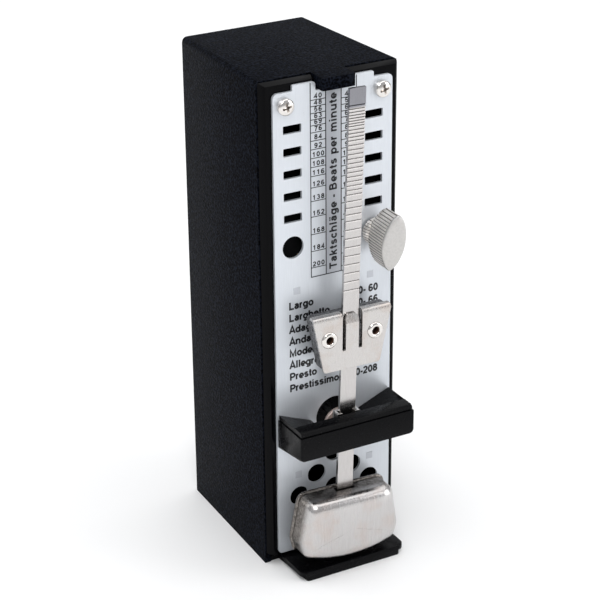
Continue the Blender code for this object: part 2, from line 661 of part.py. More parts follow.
# Winding and gear train; each group is modelled around its own axis

def disc(outline, bore, y_range, windows=()):
    return extruded(outline, [circle(0.0, 0.0, bore, 12), *windows], "Y", depth(y_range[0]), depth(y_range[1]))


def spoke_windows(inner, outer, count):
    """Window outlines that leave straight-edged spokes in a wheel."""
    windows = []
    for i in range(count):
        start = 2 * math.pi * (i + 0.16) / count
        end = 2 * math.pi * (i + 0.84) / count
        outer_arc = [(outer * math.cos(a), outer * math.sin(a))
                     for a in (start + (end - start) * k / 4 for k in range(5))]
        inner_arc = [(inner * math.cos(a), inner * math.sin(a))
                     for a in (end + (start - end) * k / 2 for k in range(3))]
        windows.append(outer_arc + inner_arc)
    return windows


def make_winding(steel, key_mat, arbor_axis, key_axis):
    square = 1.15 * MM
    arbor = add("winding_arbor", rod_solid(1.2 * MM, "Y", (0.0, 0.0), depth(-2.3 * MM),
                                           depth(REAR_PLATE[1] + 1 * MM), 16), steel, arbor_axis)
    boolean(arbor, box_solid((-square, square), (depth(-8.6 * MM), depth(-2.0 * MM)), (-square, square)),
            "UNION")
    distance = math.hypot(KEY_X, KEY_Z - BARREL_Z)
    pinion_r = distance * WINDING_TEETH[0] / sum(WINDING_TEETH)
    towards_wheel = math.atan2(BARREL_Z - KEY_Z, -KEY_X)
    pinion = gear_outline(WINDING_TEETH[0], pinion_r, (0.0, 0.0), towards_wheel)
    add("winding_pinion", disc(pinion, 1.5 * MM, (-1.8 * MM, -0.5 * MM)), steel, arbor_axis)
    make_key(key_mat, key_axis)


def lens(half_t, half_h, back, steps=8):
    """Lens-shaped section across the key's wing, at a distance behind its face."""
    lean = Matrix.Rotation(KEY_LEAN, 3, "Y")
    points = []
    for side in (1, -1):
        for k in range(steps):
            t = math.pi * k / steps
            corner = Vector((side * half_t * math.sin(t) ** 0.85, 0.0, side * half_h * math.cos(t)))
            points.append(lean @ corner + Vector((0.0, depth(KEY_FRONT) + back, 0.0)))
    return points


def make_key(mat, axis):
    """Push-on winding key: a lens-shaped wing with a rounded back, on a round collar."""
    sections = [lens(3.2 * MM, KEY_HALF_H - 0.5 * MM, 0.0), lens(3.7 * MM, KEY_HALF_H, 0.5 * MM),
                lens(3.5 * MM, KEY_HALF_H, 6.4 * MM), lens(3.3 * MM, KEY_HALF_H - 1.0 * MM, 8.0 * MM),
                lens(3.0 * MM, KEY_HALF_H - 3.4 * MM, 9.6 * MM)]
    key = add("winding_key", lofted(sections), mat, axis)
    collar = turned([(0.0, depth(-7.6 * MM)), (2.6 * MM, depth(-7.4 * MM)), (3.9 * MM, depth(-5.2 * MM)),
                     (4.0 * MM, depth(-3.9 * MM)), (0.0, depth(-3.9 * MM))], "Y", (0.0, 0.0), 24)
    boolean(key, collar, "UNION")
    socket = 1.15 * MM + GAP
    boolean(key, box_solid((-socket, socket), (depth(-9.2 * MM), depth(-3 * MM)), (-socket, socket)))


def make_barrel_arbor(steel, brass, axis):
    add("barrel_arbor", turned([(0.0, depth(-2.1 * MM)), (1.9 * MM, depth(-2.1 * MM)),
                                (1.9 * MM, depth(17.6 * MM)), (3.6 * MM, depth(17.6 * MM)),
                                (3.6 * MM, depth(25.6 * MM)), (1.9 * MM, depth(25.6 * MM)),
                                (1.9 * MM, depth(REAR_PLATE[1] + 1 * MM)), (0.0, depth(REAR_PLATE[1] + 1 * MM))],
                               "Y", (0.0, 0.0), 16), steel, axis)
    distance = math.hypot(KEY_X, KEY_Z - BARREL_Z)
    wheel_r = distance * WINDING_TEETH[1] / sum(WINDING_TEETH)
    towards_pinion = math.atan2(KEY_Z - BARREL_Z, KEY_X)
    half_pitch = math.pi / WINDING_TEETH[1]
    wheel = gear_outline(WINDING_TEETH[1], wheel_r, (0.0, 0.0), towards_pinion + half_pitch)
    windows = spoke_windows(4.2 * MM, 11.6 * MM, 4)
    add("winding_wheel", disc(wheel, 2.2 * MM, (-1.6 * MM, -0.7 * MM), windows), brass, axis)
    ratchet = ratchet_outline(RATCHET_TEETH, RATCHET_TIP_R, RATCHET_TIP_R - 0.8 * MM, (0.0, 0.0))
    add("ratchet_wheel", disc(ratchet, 2.2 * MM, (CLICK_Y[0], CLICK_Y[1] - 0.1 * MM)), steel, axis)


def make_barrel(brass, steel, axis):
    distance = BARREL_Z - CENTRE_Z
    wheel_r = distance * TRAIN_TEETH[0] / sum(TRAIN_TEETH)
    towards_pinion = -math.pi / 2
    outline = gear_outline(TRAIN_TEETH[0], wheel_r, (0.0, 0.0), towards_pinion)
    add("great_wheel", disc(outline, 2.3 * MM, (15.3 * MM, 16.5 * MM)), brass, axis)
    drum = [(2.3 * MM, depth(27.4 * MM)), (2.3 * MM, depth(26.6 * MM)), (14.0 * MM, depth(26.6 * MM)),
            (14.0 * MM, depth(16.8 * MM)), (14.8 * MM, depth(16.8 * MM)), (14.8 * MM, depth(27.4 * MM))]
    add("barrel_drum", turned(drum, "Y", (0.0, 0.0), 32), brass, axis)
    add("mainspring", make_spiral(4.4 * MM, 13.4 * MM, 5, 0.4 * MM, (18.0 * MM, 25.6 * MM)), steel, axis)


def make_spiral(inner, outer, turns, thickness, y_range, steps_per_turn=16):
    """Flat strip wound into a spiral round the Y axis."""
    count = turns * steps_per_turn
    inside, outside = [], []
    for i in range(count + 1):
        angle = 2 * math.pi * i / steps_per_turn
        radius = inner + (outer - inner) * i / count
        direction = (math.cos(angle), math.sin(angle))
        inside.append(tuple((radius - thickness / 2) * c for c in direction))
        outside.append(tuple((radius + thickness / 2) * c for c in direction))
    bm = bmesh.new()
    strips = []
    for y in y_range:
        for line in (inside, outside):
            strips.append([bm.verts.new((u, depth(y), v)) for u, v in line])
    near_in, near_out, far_in, far_out = strips
    for a, b in ((near_in, near_out), (near_out, far_out), (far_out, far_in), (far_in, near_in)):
        for i in range(count):
            bm.faces.new((a[i], a[i + 1], b[i + 1], b[i]))
    for end in (0, count):
        bm.faces.new((near_in[end], near_out[end], far_out[end], far_in[end]))
    return finish_mesh(bm)


def make_centre(steel, brass, axis):
    add("centre_arbor", rod_solid(0.8 * MM, "Y", (0.0, 0.0), depth(FRONT_PLATE[0] - 0.2 * MM),
                                  depth(REAR_PLATE[1] + 0.2 * MM), 12), steel, axis)
    distance = BARREL_Z - CENTRE_Z
    pinion_r = distance * TRAIN_TEETH[1] / sum(TRAIN_TEETH)
    half_pitch = math.pi / TRAIN_TEETH[1]
    outline = gear_outline(TRAIN_TEETH[1], pinion_r, (0.0, 0.0), math.pi / 2 + half_pitch)
    add("centre_pinion", disc(outline, 1.1 * MM, (14.9 * MM, 16.9 * MM)), steel, axis)
    add("contrate_wheel", make_contrate((10.9 * MM, 11.8 * MM), 13.1 * MM), brass, axis)


def make_contrate(web, tooth_end):
    """Wheel whose teeth stand off its face, towards the upright pinion."""
    teeth = CONTRATE_TEETH[0]
    inner, outer = CONTRATE_R - 0.6 * MM, CONTRATE_R + 0.6 * MM
    step = 2 * math.pi / teeth
    shares = ((-0.24, False), (-0.15, True), (0.15, True), (0.24, False))
    bm = bmesh.new()
    columns = []
    for i in range(teeth):
        for share, high in shares:
            angle = -math.pi / 2 + (i + 0.5 + share) * step
            crest = depth(tooth_end if high else web[1])
            column = []
            for radius in (outer, inner):
                column.append(bm.verts.new((radius * math.cos(angle), crest, radius * math.sin(angle))))
            for radius, y in ((inner, web[1]), (1.1 * MM, web[1]), (1.1 * MM, web[0]), (outer, web[0])):
                if radius == inner and not high:
                    column.append(column[-1])
                else:
                    column.append(bm.verts.new((radius * math.cos(angle), depth(y),
                                                radius * math.sin(angle))))
            columns.append(column)
    count = len(columns)
    for i in range(count):
        a, b = columns[i], columns[(i + 1) % count]
        for k in range(len(a)):
            m = (k + 1) % len(a)
            if k == len(a) - 1:
                continue
            corners = list(dict.fromkeys((a[k], b[k], b[m], a[m])))
            if len(corners) > 2:
                bm.faces.new(corners)
    for i in range(count):
        a, b = columns[i], columns[(i + 1) % count]
        bm.faces.new((a[5], b[5], b[0], a[0]))
    return finish_mesh(bm)


def make_escape(steel, brass, axis):
    low0, low1, high0, high1 = BRACKET_ARMS
    centre = (0.0, depth(ESCAPE_Y))
    bottom = PIVOT_Z + PALLET_R + 0.4 * MM
    web = (low0 - 1.5 * MM, low0 - 0.7 * MM)
    arbor = [(0.0, web[0] - 0.3 * MM), (0.35 * MM, web[0] - 0.3 * MM), (0.35 * MM, high1 + 0.2 * MM),
             (0.0, high1 + 0.2 * MM)]
    add("escape_arbor", turned(arbor, "Z", centre, 12), steel, axis)
    outline = gear_outline(CONTRATE_TEETH[1], ESCAPE_PINION_R, centre, -math.pi / 2, 0.8, 1.1)
    pinion = extruded(outline, [circle(*centre, 0.65 * MM, 8)], "Z", low1 + 1.0 * MM, high0 - 1.2 * MM)
    add("escape_pinion", pinion, steel, axis)
    add("escape_wheel", make_crown(centre, bottom, web), brass, axis)


def make_crown(centre, tip_z, web):
    """Crown wheel: a short drum with saw teeth pointing down and a flat web at the top."""
    outer, inner = ESCAPE_R + 0.3 * MM, ESCAPE_R - 0.3 * MM
    root_z = tip_z + 1.8 * MM
    step = 2 * math.pi / ESCAPE_TEETH
    bm = bmesh.new()
    columns = []
    for i in range(ESCAPE_TEETH):
        for share, z in ((0.0, tip_z), (0.12, root_z), (0.6, (tip_z + root_z) / 2)):
            angle = (i + share) * step
            ring = []
            for radius, height in ((outer, z), (inner, z), (inner, web[0]), (0.65 * MM, web[0]),
                                   (0.65 * MM, web[1]), (outer, web[1])):
                ring.append(bm.verts.new((centre[0] + radius * math.cos(angle),
                                          centre[1] + radius * math.sin(angle), height)))
            columns.append(ring)
    count = len(columns)
    for i in range(count):
        a, b = columns[i], columns[(i + 1) % count]
        for k in range(6):
            m = (k + 1) % 6
            bm.faces.new((a[k], b[k], b[m], a[m]))
    return finish_mesh(bm)


# Pendulum, modelled upright around the pivot and then tilted with its axis

def tempo_height(tempo):
    """Height above the pivot of the rod's notch for a tempo."""
    return 96.6 * MM - 0.325 * MM * (tempo - 46) - 1.6 * MM * (1 - math.exp(-(tempo - 46) / 8.0))


def make_rod(mat, axis):
    """Flat rod with a row of shallow notches, drawn as a side profile and widened along X."""
    front = depth(ROD_FRONT)
    back = front + ROD_T
    points = [(back, ROD_BOTTOM), (back, ROD_TOP), (front, ROD_TOP)]
    for height in sorted((tempo_height(t) for t in TEMPOS if t >= 46), reverse=True):
        points += [(front, height + 0.3 * MM), (front + NOTCH_DEPTH, height), (front, height - 0.3 * MM)]
    points.append((front, ROD_BOTTOM))
    rod = add("pendulum_rod", extruded(points, [], "X", -ROD_HALF_W, ROD_HALF_W), mat, axis)
    boolean(rod, rod_solid(1.2 * MM, "Y", (0.0, 0.0), front - 2 * MM, back + 2 * MM, 12))
    return rod


def make_pallet(name, y, lean, mat, axis):
    """Small flag on a collar round the pendulum's arbor."""
    collar = 1.9 * MM
    half_t = 0.35 * MM
    outline = []
    start = math.asin(half_t / collar)
    for k in range(15):
        angle = math.pi / 2 - lean + start + (2 * math.pi - 2 * start) * k / 14
        outline.append((collar * math.cos(angle), collar * math.sin(angle)))
    out = Vector((math.sin(lean), math.cos(lean)))
    across = Vector((out.y, -out.x))
    for corner in (out * PALLET_R + across * half_t, out * PALLET_R - across * half_t):
        outline.append((corner.x, corner.y))
    solid = extruded(outline, [circle(0.0, 0.0, 1.15 * MM, 12)], "Y", depth(y - 0.8 * MM), depth(y + 0.8 * MM))
    add(name, solid, mat, axis)


def make_hub(mat, axis):
    """Disc behind the rod, hung a little low on its neck round the arbor."""
    bore = 1.1 * MM
    hub_disc = extruded(circle(0.0, -HUB_DROP, HUB_R, 24), [circle(0.0, 0.0, bore)], "Y",
                        depth(HUB_FRONT), depth(HUB_FRONT + 1.2 * MM))
    hub = add("pendulum_hub", hub_disc, mat, axis)
    boolean(hub, tube_solid(bore, 2.2 * MM, "Y", (0.0, 0.0), depth(HUB_FRONT + 0.6 * MM), depth(-3.8 * MM)),
            "UNION")


def make_rod_clip(mat, axis):
    back_face = ROD_FRONT + ROD_T + GAP
    clip = add("rod_clip", box_solid((-3.7 * MM, 3.7 * MM), (depth(back_face), depth(back_face + 0.8 * MM)),
                                     (-4.2 * MM, 4.6 * MM)), mat, axis)
    boss = tube_solid(1.3 * MM, 2.2 * MM, "Y", (0.0, 0.0), depth(back_face + 0.5 * MM), depth(-6.9 * MM), 16)
    boolean(clip, boss, "UNION")
    boolean(clip, rod_solid(1.3 * MM, "Y", (0.0, 0.0), depth(back_face - 1 * MM), depth(-6 * MM), 16))
    inner = ROD_HALF_W + 0.35 * MM
    hook_front = ROD_FRONT - GAP - 0.5 * MM
    for side in (-1, 1):
        outline = [(side * u, depth(v)) for u, v in (
            (inner, back_face + 0.4 * MM), (inner + 0.7 * MM, back_face + 0.4 * MM),
            (inner + 0.7 * MM, hook_front), (inner - 0.8 * MM, hook_front),
            (inner - 0.8 * MM, hook_front + 0.5 * MM), (inner, hook_front + 0.5 * MM))]
        boolean(clip, extruded(outline, [], "Z", 2.8 * MM, 4.5 * MM), "UNION")
    return clip


def bob_outline(inset=0.0):
    """Front view of the bob: slightly flared sides, rounded corners and a shallow arc below."""
    top, low, wide = BOB_TOP, -34.0 * MM, 16.3 * MM
    arc_r = 41.4 * MM - inset
    points = [(-14.0 * MM + inset, top - inset), (-wide + inset, low)]
    spread = math.asin((wide - 2.6 * MM) / 41.4 / MM)
    arc = [(arc_r * math.sin(a), -arc_r * math.cos(a))
           for a in (-spread + 2 * spread * k / 10 for k in range(11))]
    left_corner = [(-wide + inset + 0.35 * MM, low - 2.2 * MM), (-wide + inset + 1.1 * MM, low - 3.9 * MM)]
    points += left_corner + arc + [(-u, v) for u, v in reversed(left_corner)]
    points += [(wide - inset, low), (14.0 * MM - inset, top - inset)]
    return points


def make_bob(mat, core_mat, axis):
    edge = 0.8 * MM
    sections = []
    for inset, y in ((edge, BOB_FRONT), (0.3 * edge, BOB_FRONT + 0.3 * edge), (0.0, BOB_FRONT + edge),
                     (0.0, BOB_BACK)):
        sections.append([Vector((u, depth(y), v)) for u, v in bob_outline(inset)])
    shell = add("bob_shell", lofted(sections), mat, axis)
    hollow = [[Vector((u, depth(y), v)) for u, v in bob_outline(BOB_WALL)]
              for y in (BOB_FRONT + BOB_WALL, BOB_BACK + 2 * MM)]
    boolean(shell, lofted(hollow))
    slot = box_solid((-ROD_HALF_W - 0.5 * MM, ROD_HALF_W + 0.5 * MM),
                     (depth(ROD_FRONT - 0.6 * MM), depth(ROD_FRONT + ROD_T + 0.6 * MM)), (-26 * MM, -20 * MM))
    boolean(shell, slot)
    core_inset = BOB_WALL + GAP
    core_sections = [[Vector((u, depth(y), v)) for u, v in bob_outline(core_inset)]
                     for y in (BOB_FRONT + core_inset, BOB_BACK - 0.8 * MM)]
    core = add("bob_weight", lofted(core_sections), core_mat, axis)
    channel = box_solid((-ROD_HALF_W - GAP, ROD_HALF_W + GAP),
                        (depth(ROD_FRONT - GAP), depth(ROD_FRONT + ROD_T + GAP)),
                        (ROD_BOTTOM - 0.6 * MM, -20 * MM))
    boolean(core, channel)


def slider_outline(inset=0.0):
    corner = 0.9 * MM
    return rounded([(-SLIDER_BOTTOM_HALF_W + inset, SLIDER_BOTTOM + inset, corner),
                    (SLIDER_BOTTOM_HALF_W - inset, SLIDER_BOTTOM + inset, corner),
                    (SLIDER_TOP_HALF_W - inset, SLIDER_TOP - inset, corner),
                    (-SLIDER_TOP_HALF_W + inset, SLIDER_TOP - inset, corner)], steps=2)


def leaning(bm):
    """The slider sits on the rod with a slight lean about its middle."""
    middle = (0.0, 0.0, EYELET_Z)
    bmesh.ops.rotate(bm, cent=middle, matrix=Matrix.Rotation(SLIDER_LEAN, 3, "Y"), verts=bm.verts[:])
    return bm


def make_slider(plate_mat, weight_mat, axis):
    eyelets = [circle(side * EYELET_X, EYELET_Z, EYELET_HOLE_R, 16) for side in (-1, 1)]
    slits = [rectangle(*sorted((side * SLIT_IN, side * SLIT_OUT)), SLIT_BOTTOM, SLIDER_TOP - 0.9 * MM)
             for side in (-1, 1)]
    plate = extruded(slider_outline(), eyelets + slits, "Y", depth(SLIDER_FRONT),
                     depth(SLIDER_FRONT + SLIDER_SHEET))
    add("slider_plate", leaning(plate), plate_mat, axis)
    body_front = SLIDER_FRONT + SLIDER_SHEET + GAP
    weight = extruded(slider_outline(0.3 * MM), eyelets, "Y", depth(body_front), depth(SLIDER_BACK))
    body = add("slider_weight", leaning(weight), weight_mat, axis)
    channel = box_solid((-ROD_HALF_W - GAP, ROD_HALF_W + GAP),
                        (depth(body_front - 1 * MM), depth(ROD_FRONT + ROD_T + GAP)), (10 * MM, 45 * MM))
    boolean(body, channel)
    for side, word in ((-1, "left"), (1, "right")):
        profile = [(1.1 * MM, SLIDER_FRONT - 0.1 * MM), (1.3 * MM, SLIDER_FRONT - 0.55 * MM),
                   (2.1 * MM, SLIDER_FRONT - 0.55 * MM), (2.5 * MM, SLIDER_FRONT - GAP),
                   (1.4 * MM, SLIDER_FRONT - GAP), (1.4 * MM, SLIDER_BACK + 0.4 * MM),
                   (1.1 * MM, SLIDER_BACK + 0.4 * MM)]
        eyelet = turned([(r, depth(y)) for r, y in profile], "Y", (side * EYELET_X, EYELET_Z), 16)
        add(f"slider_eyelet_{word}", leaning(eyelet), plate_mat, axis)


def make_pendulum(steel, nickel, lead, axis):
    add("pendulum_arbor", rod_solid(0.8 * MM, "Y", (0.0, 0.0), depth(-7.9 * MM), depth(REAR_PLATE[1] + 1 * MM),
                                    12), steel, axis)
    make_pallet("front_pallet", ESCAPE_Y - ESCAPE_R, math.radians(50), steel, axis)
    make_pallet("rear_pallet", ESCAPE_Y + ESCAPE_R, math.radians(-50), steel, axis)
    make_hub(steel, axis)
    make_rod_clip(steel, axis)
    make_rod(nickel, axis)
    rivet = [(0.0, -11.9 * MM), (1.4 * MM, -11.8 * MM), (1.7 * MM, -11.2 * MM), (0.9 * MM, -11.2 * MM),
             (0.9 * MM, -8.2 * MM), (0.0, -8.2 * MM)]
    add("rod_rivet", turned([(r, depth(y)) for r, y in rivet], "Y", (0.0, 0.0), 16), steel, axis)
    make_bob(nickel, lead, axis)
    make_slider(nickel, lead, axis)


def main():
    clear_scene()
    leather_black = material("case_black", (0.012, 0.013, 0.017), 0.55)
    gloss_black = material("frame_black", (0.008, 0.008, 0.010), 0.2)
    bar_black = material("bar_black", (0.012, 0.012, 0.014), 0.35)
    aluminium = material("scale_aluminium", (0.72, 0.74, 0.77), 0.35, 1.0)
    nickel = material("nickel", (0.68, 0.66, 0.63), 0.3, 1.0)
    steel = material("steel", (0.55, 0.55, 0.56), 0.35, 1.0)
    brass = material("brass", (0.72, 0.52, 0.22), 0.35, 1.0)
    dark_plate = material("plate_black", (0.02, 0.02, 0.022), 0.45)
    lead = material("weight_grey", (0.20, 0.20, 0.21), 0.5, 0.8)

    make_case_shell(leather_black)
    make_front_frame(gloss_black)
    make_scale_plate(aluminium)
    make_crossbar(bar_black)
    make_base_tray(gloss_black)
    make_fasteners(steel)
    make_movement_plates(dark_plate)
    make_pillars(steel)
    make_bushes(brass)
    make_click(steel, add_axis("click_axis", *CLICK_PIVOT))
    make_escape_bracket(dark_plate, steel)
    make_winding(steel, nickel, add_axis("winding_axis", KEY_X, KEY_Z), add_axis("key_axis", KEY_X, KEY_Z))
    make_barrel_arbor(steel, brass, add_axis("barrel_arbor_axis", 0.0, BARREL_Z))
    make_barrel(brass, steel, add_axis("barrel_axis", 0.0, BARREL_Z))
    make_centre(steel, brass, add_axis("centre_axis", 0.0, CENTRE_Z))
    make_escape(steel, brass, None)
    make_pendulum(steel, nickel, lead, add_axis("pendulum_axis", 0.0, PIVOT_Z, tilt=TILT))


main()
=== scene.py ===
"""Looks of the wind-up metronome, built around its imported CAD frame.

World coordinates in metres: +X to the right, the scale plate faces -Y, +Z up. Depths are given from
the case's front rim, minus towards the viewer; the pendulum's pieces are given from its pivot.
"""

import json
import math

import bmesh
import bpy
from mathutils import Matrix, Vector

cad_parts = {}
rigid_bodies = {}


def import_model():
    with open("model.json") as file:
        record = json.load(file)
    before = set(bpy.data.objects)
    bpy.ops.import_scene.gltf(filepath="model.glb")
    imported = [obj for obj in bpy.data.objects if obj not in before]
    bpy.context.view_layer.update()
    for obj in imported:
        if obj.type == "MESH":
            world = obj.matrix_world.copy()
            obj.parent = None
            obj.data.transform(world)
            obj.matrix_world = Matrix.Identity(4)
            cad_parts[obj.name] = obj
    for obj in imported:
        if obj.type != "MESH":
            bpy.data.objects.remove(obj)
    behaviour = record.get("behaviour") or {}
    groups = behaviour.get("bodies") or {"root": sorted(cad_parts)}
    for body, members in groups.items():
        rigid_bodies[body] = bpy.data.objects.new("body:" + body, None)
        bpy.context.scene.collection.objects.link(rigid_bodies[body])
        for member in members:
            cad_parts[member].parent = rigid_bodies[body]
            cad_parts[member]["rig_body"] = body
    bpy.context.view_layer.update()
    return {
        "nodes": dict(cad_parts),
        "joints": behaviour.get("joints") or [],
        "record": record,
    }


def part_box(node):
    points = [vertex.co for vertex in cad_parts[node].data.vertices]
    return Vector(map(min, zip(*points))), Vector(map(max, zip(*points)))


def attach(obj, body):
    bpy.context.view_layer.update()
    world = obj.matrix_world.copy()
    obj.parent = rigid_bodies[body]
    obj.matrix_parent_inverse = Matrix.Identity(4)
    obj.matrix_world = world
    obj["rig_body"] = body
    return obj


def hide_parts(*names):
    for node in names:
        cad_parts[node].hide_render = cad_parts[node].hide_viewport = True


MM = 0.001

# Camera and light
CAMERA_PLACE = (-0.26149, -0.48122, 0.32547)
CAMERA_AZIMUTH = 28.505
CAMERA_ELEVATION = 24.62
CAMERA_ROLL = -0.544
CAMERA_LENS = 123.34

# Scale plate
PLATE_FRONT = -3.3 * MM
PLATE_T = 0.85 * MM
PLATE_HALF_W = 18.7 * MM
PLATE_BOTTOM = 4.1 * MM
PLATE_SHOULDER = 146.75 * MM
PLATE_TAB_TOP = 148.4 * MM
PLATE_TAB_IN = 5.6 * MM
PLATE_TAB_OUT = 12.7 * MM
PLATE_NOTCH = 145.9 * MM
PLATE_SCREW = (15.16 * MM, 143.0 * MM)
SLOT = (12.83 * MM, 136.04 * MM, 6.5 * MM, 5.65 * MM, 2.4 * MM)
SLOT_COUNT = 5
PEG = (13.5 * MM, 44.6 * MM, 1.5 * MM)
SCREW_FRONT = -5.3 * MM
SCREW_R = 2.4 * MM
SCREW_TURN = -14.0
KEY_HOLE_R = 3.3 * MM
PIVOT_HOLE_R = 5.9 * MM
SOUND_HOLE = (3.0 * MM, 5.85 * MM, 21.9 * MM)
DIMPLES = ((11.9 * MM, 87.9 * MM), (11.95 * MM, 29.0 * MM))

# Printing on the plate
INK_T = 0.02 * MM
SCALE_LINES_X = (2.43 * MM, 7.2 * MM)
SCALE_BOTTOM = 91.0 * MM
SCALE_LINE_W = 0.30 * MM
TEMPOS = (*range(40, 60, 4), *range(60, 72, 3), *range(72, 120, 4), *range(120, 144, 6),
          *range(144, 209, 8))
LEFT_TEMPOS = TEMPOS[::2]
RIGHT_TEMPOS = TEMPOS[1::2]
LINE_TOP = 143.2 * MM
LINE_LOW = 93.8 * MM
LINE_BEND = 15.0 * MM
LINE_BEND_POWER = 2.5
CAPTION = "Taktschläge - Beats per minute"
CAPTION_SPAN = (92.2 * MM, 144.3 * MM)
TERMS = (("Largo", "40- 60"), ("Larghetto", "60- 66"), ("Adagio", "66- 76"), ("Andante", "76-108"),
         ("Moderato", "108-120"), ("Allegro", "120-168"), ("Presto", "168-200"),
         ("Prestissimo", "200-208"))
TERMS_TOP = 82.4 * MM
TERMS_PITCH = 3.69 * MM
TERMS_LEFT = -14.5 * MM
TERMS_RIGHT = 14.55 * MM
NUMBER_CAP = 1.45 * MM
NUMBER_WEIGHT = 0.33 * MM
CAPTION_CAP = 2.4 * MM
CAPTION_WEIGHT = 0.52 * MM
TERMS_CAP = 2.3 * MM
TERMS_WEIGHT = 0.55 * MM
TERMS_STRETCH = 2.06 * MM

# Slider, rod, bob and key
SLIDER_FRONT = -12.3 * MM
SLIDER_SHEET = 0.8 * MM
SLIDER_TOP = 36.2 * MM
SLIDER_BOTTOM = 18.9 * MM
SLIDER_TOP_HALF_W = 12.8 * MM
SLIDER_BOTTOM_HALF_W = 9.1 * MM
SLIDER_LEAN = -1.1
SLIDER_ROLL = 1.1 * MM
SLIDER_ROLL_BACK = -9.9 * MM
SLIT_IN = 2.1 * MM
SLIT_OUT = 3.2 * MM
SLIT_BOTTOM = 24.7 * MM
SLIDER_FOLD = 33.0 * MM
EYELET = (7.45 * MM, 29.0 * MM)
BOB_FRONT = -17.1 * MM
BOB_BACK = -7.7 * MM
BOB_TOP = -20.6 * MM
ROD_BARE_Z = 141.8 * MM
KEY_FRONT = -15.0 * MM
KEY_HALF_H = 8.2 * MM
KEY_LEAN = 10.8
KEY_RIB_PITCH = 0.80 * MM
KEY_RIB_DEPTH = 0.20 * MM

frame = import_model()
joints = {joint["name"]: joint for joint in frame["joints"]}
RIM_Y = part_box("scale_plate")[0].y - PLATE_FRONT
PIVOT_Z = joints["pendulum_swing"]["pos_m"][2]
KEY_X, _, KEY_Z = joints["winding_turn"]["pos_m"]
TILT = math.atan2(joints["slider_travel"]["axis"][0], joints["slider_travel"]["axis"][2])
SWUNG = Matrix.Translation((0.0, 0.0, PIVOT_Z)) @ Matrix.Rotation(TILT, 4, "Y")
LEANING = SWUNG @ Matrix.Translation((0.0, 0.0, EYELET[1])) @ (
    Matrix.Rotation(math.radians(SLIDER_LEAN), 4, "Y") @ Matrix.Translation((0.0, 0.0, -EYELET[1])))
SLOT_OF = {entry["node"]: entry["material_slot"] for entry in frame["record"]["subparts"]}


def depth(offset):
    """World Y of a depth given from the case's front rim."""
    return RIM_Y + offset


def turned_about(x, z, degrees):
    """Places a shape modelled round the Y axis at x, z, turned by an angle."""
    return Matrix.Translation((x, 0.0, z)) @ Matrix.Rotation(math.radians(degrees), 4, "Y")


# Materials

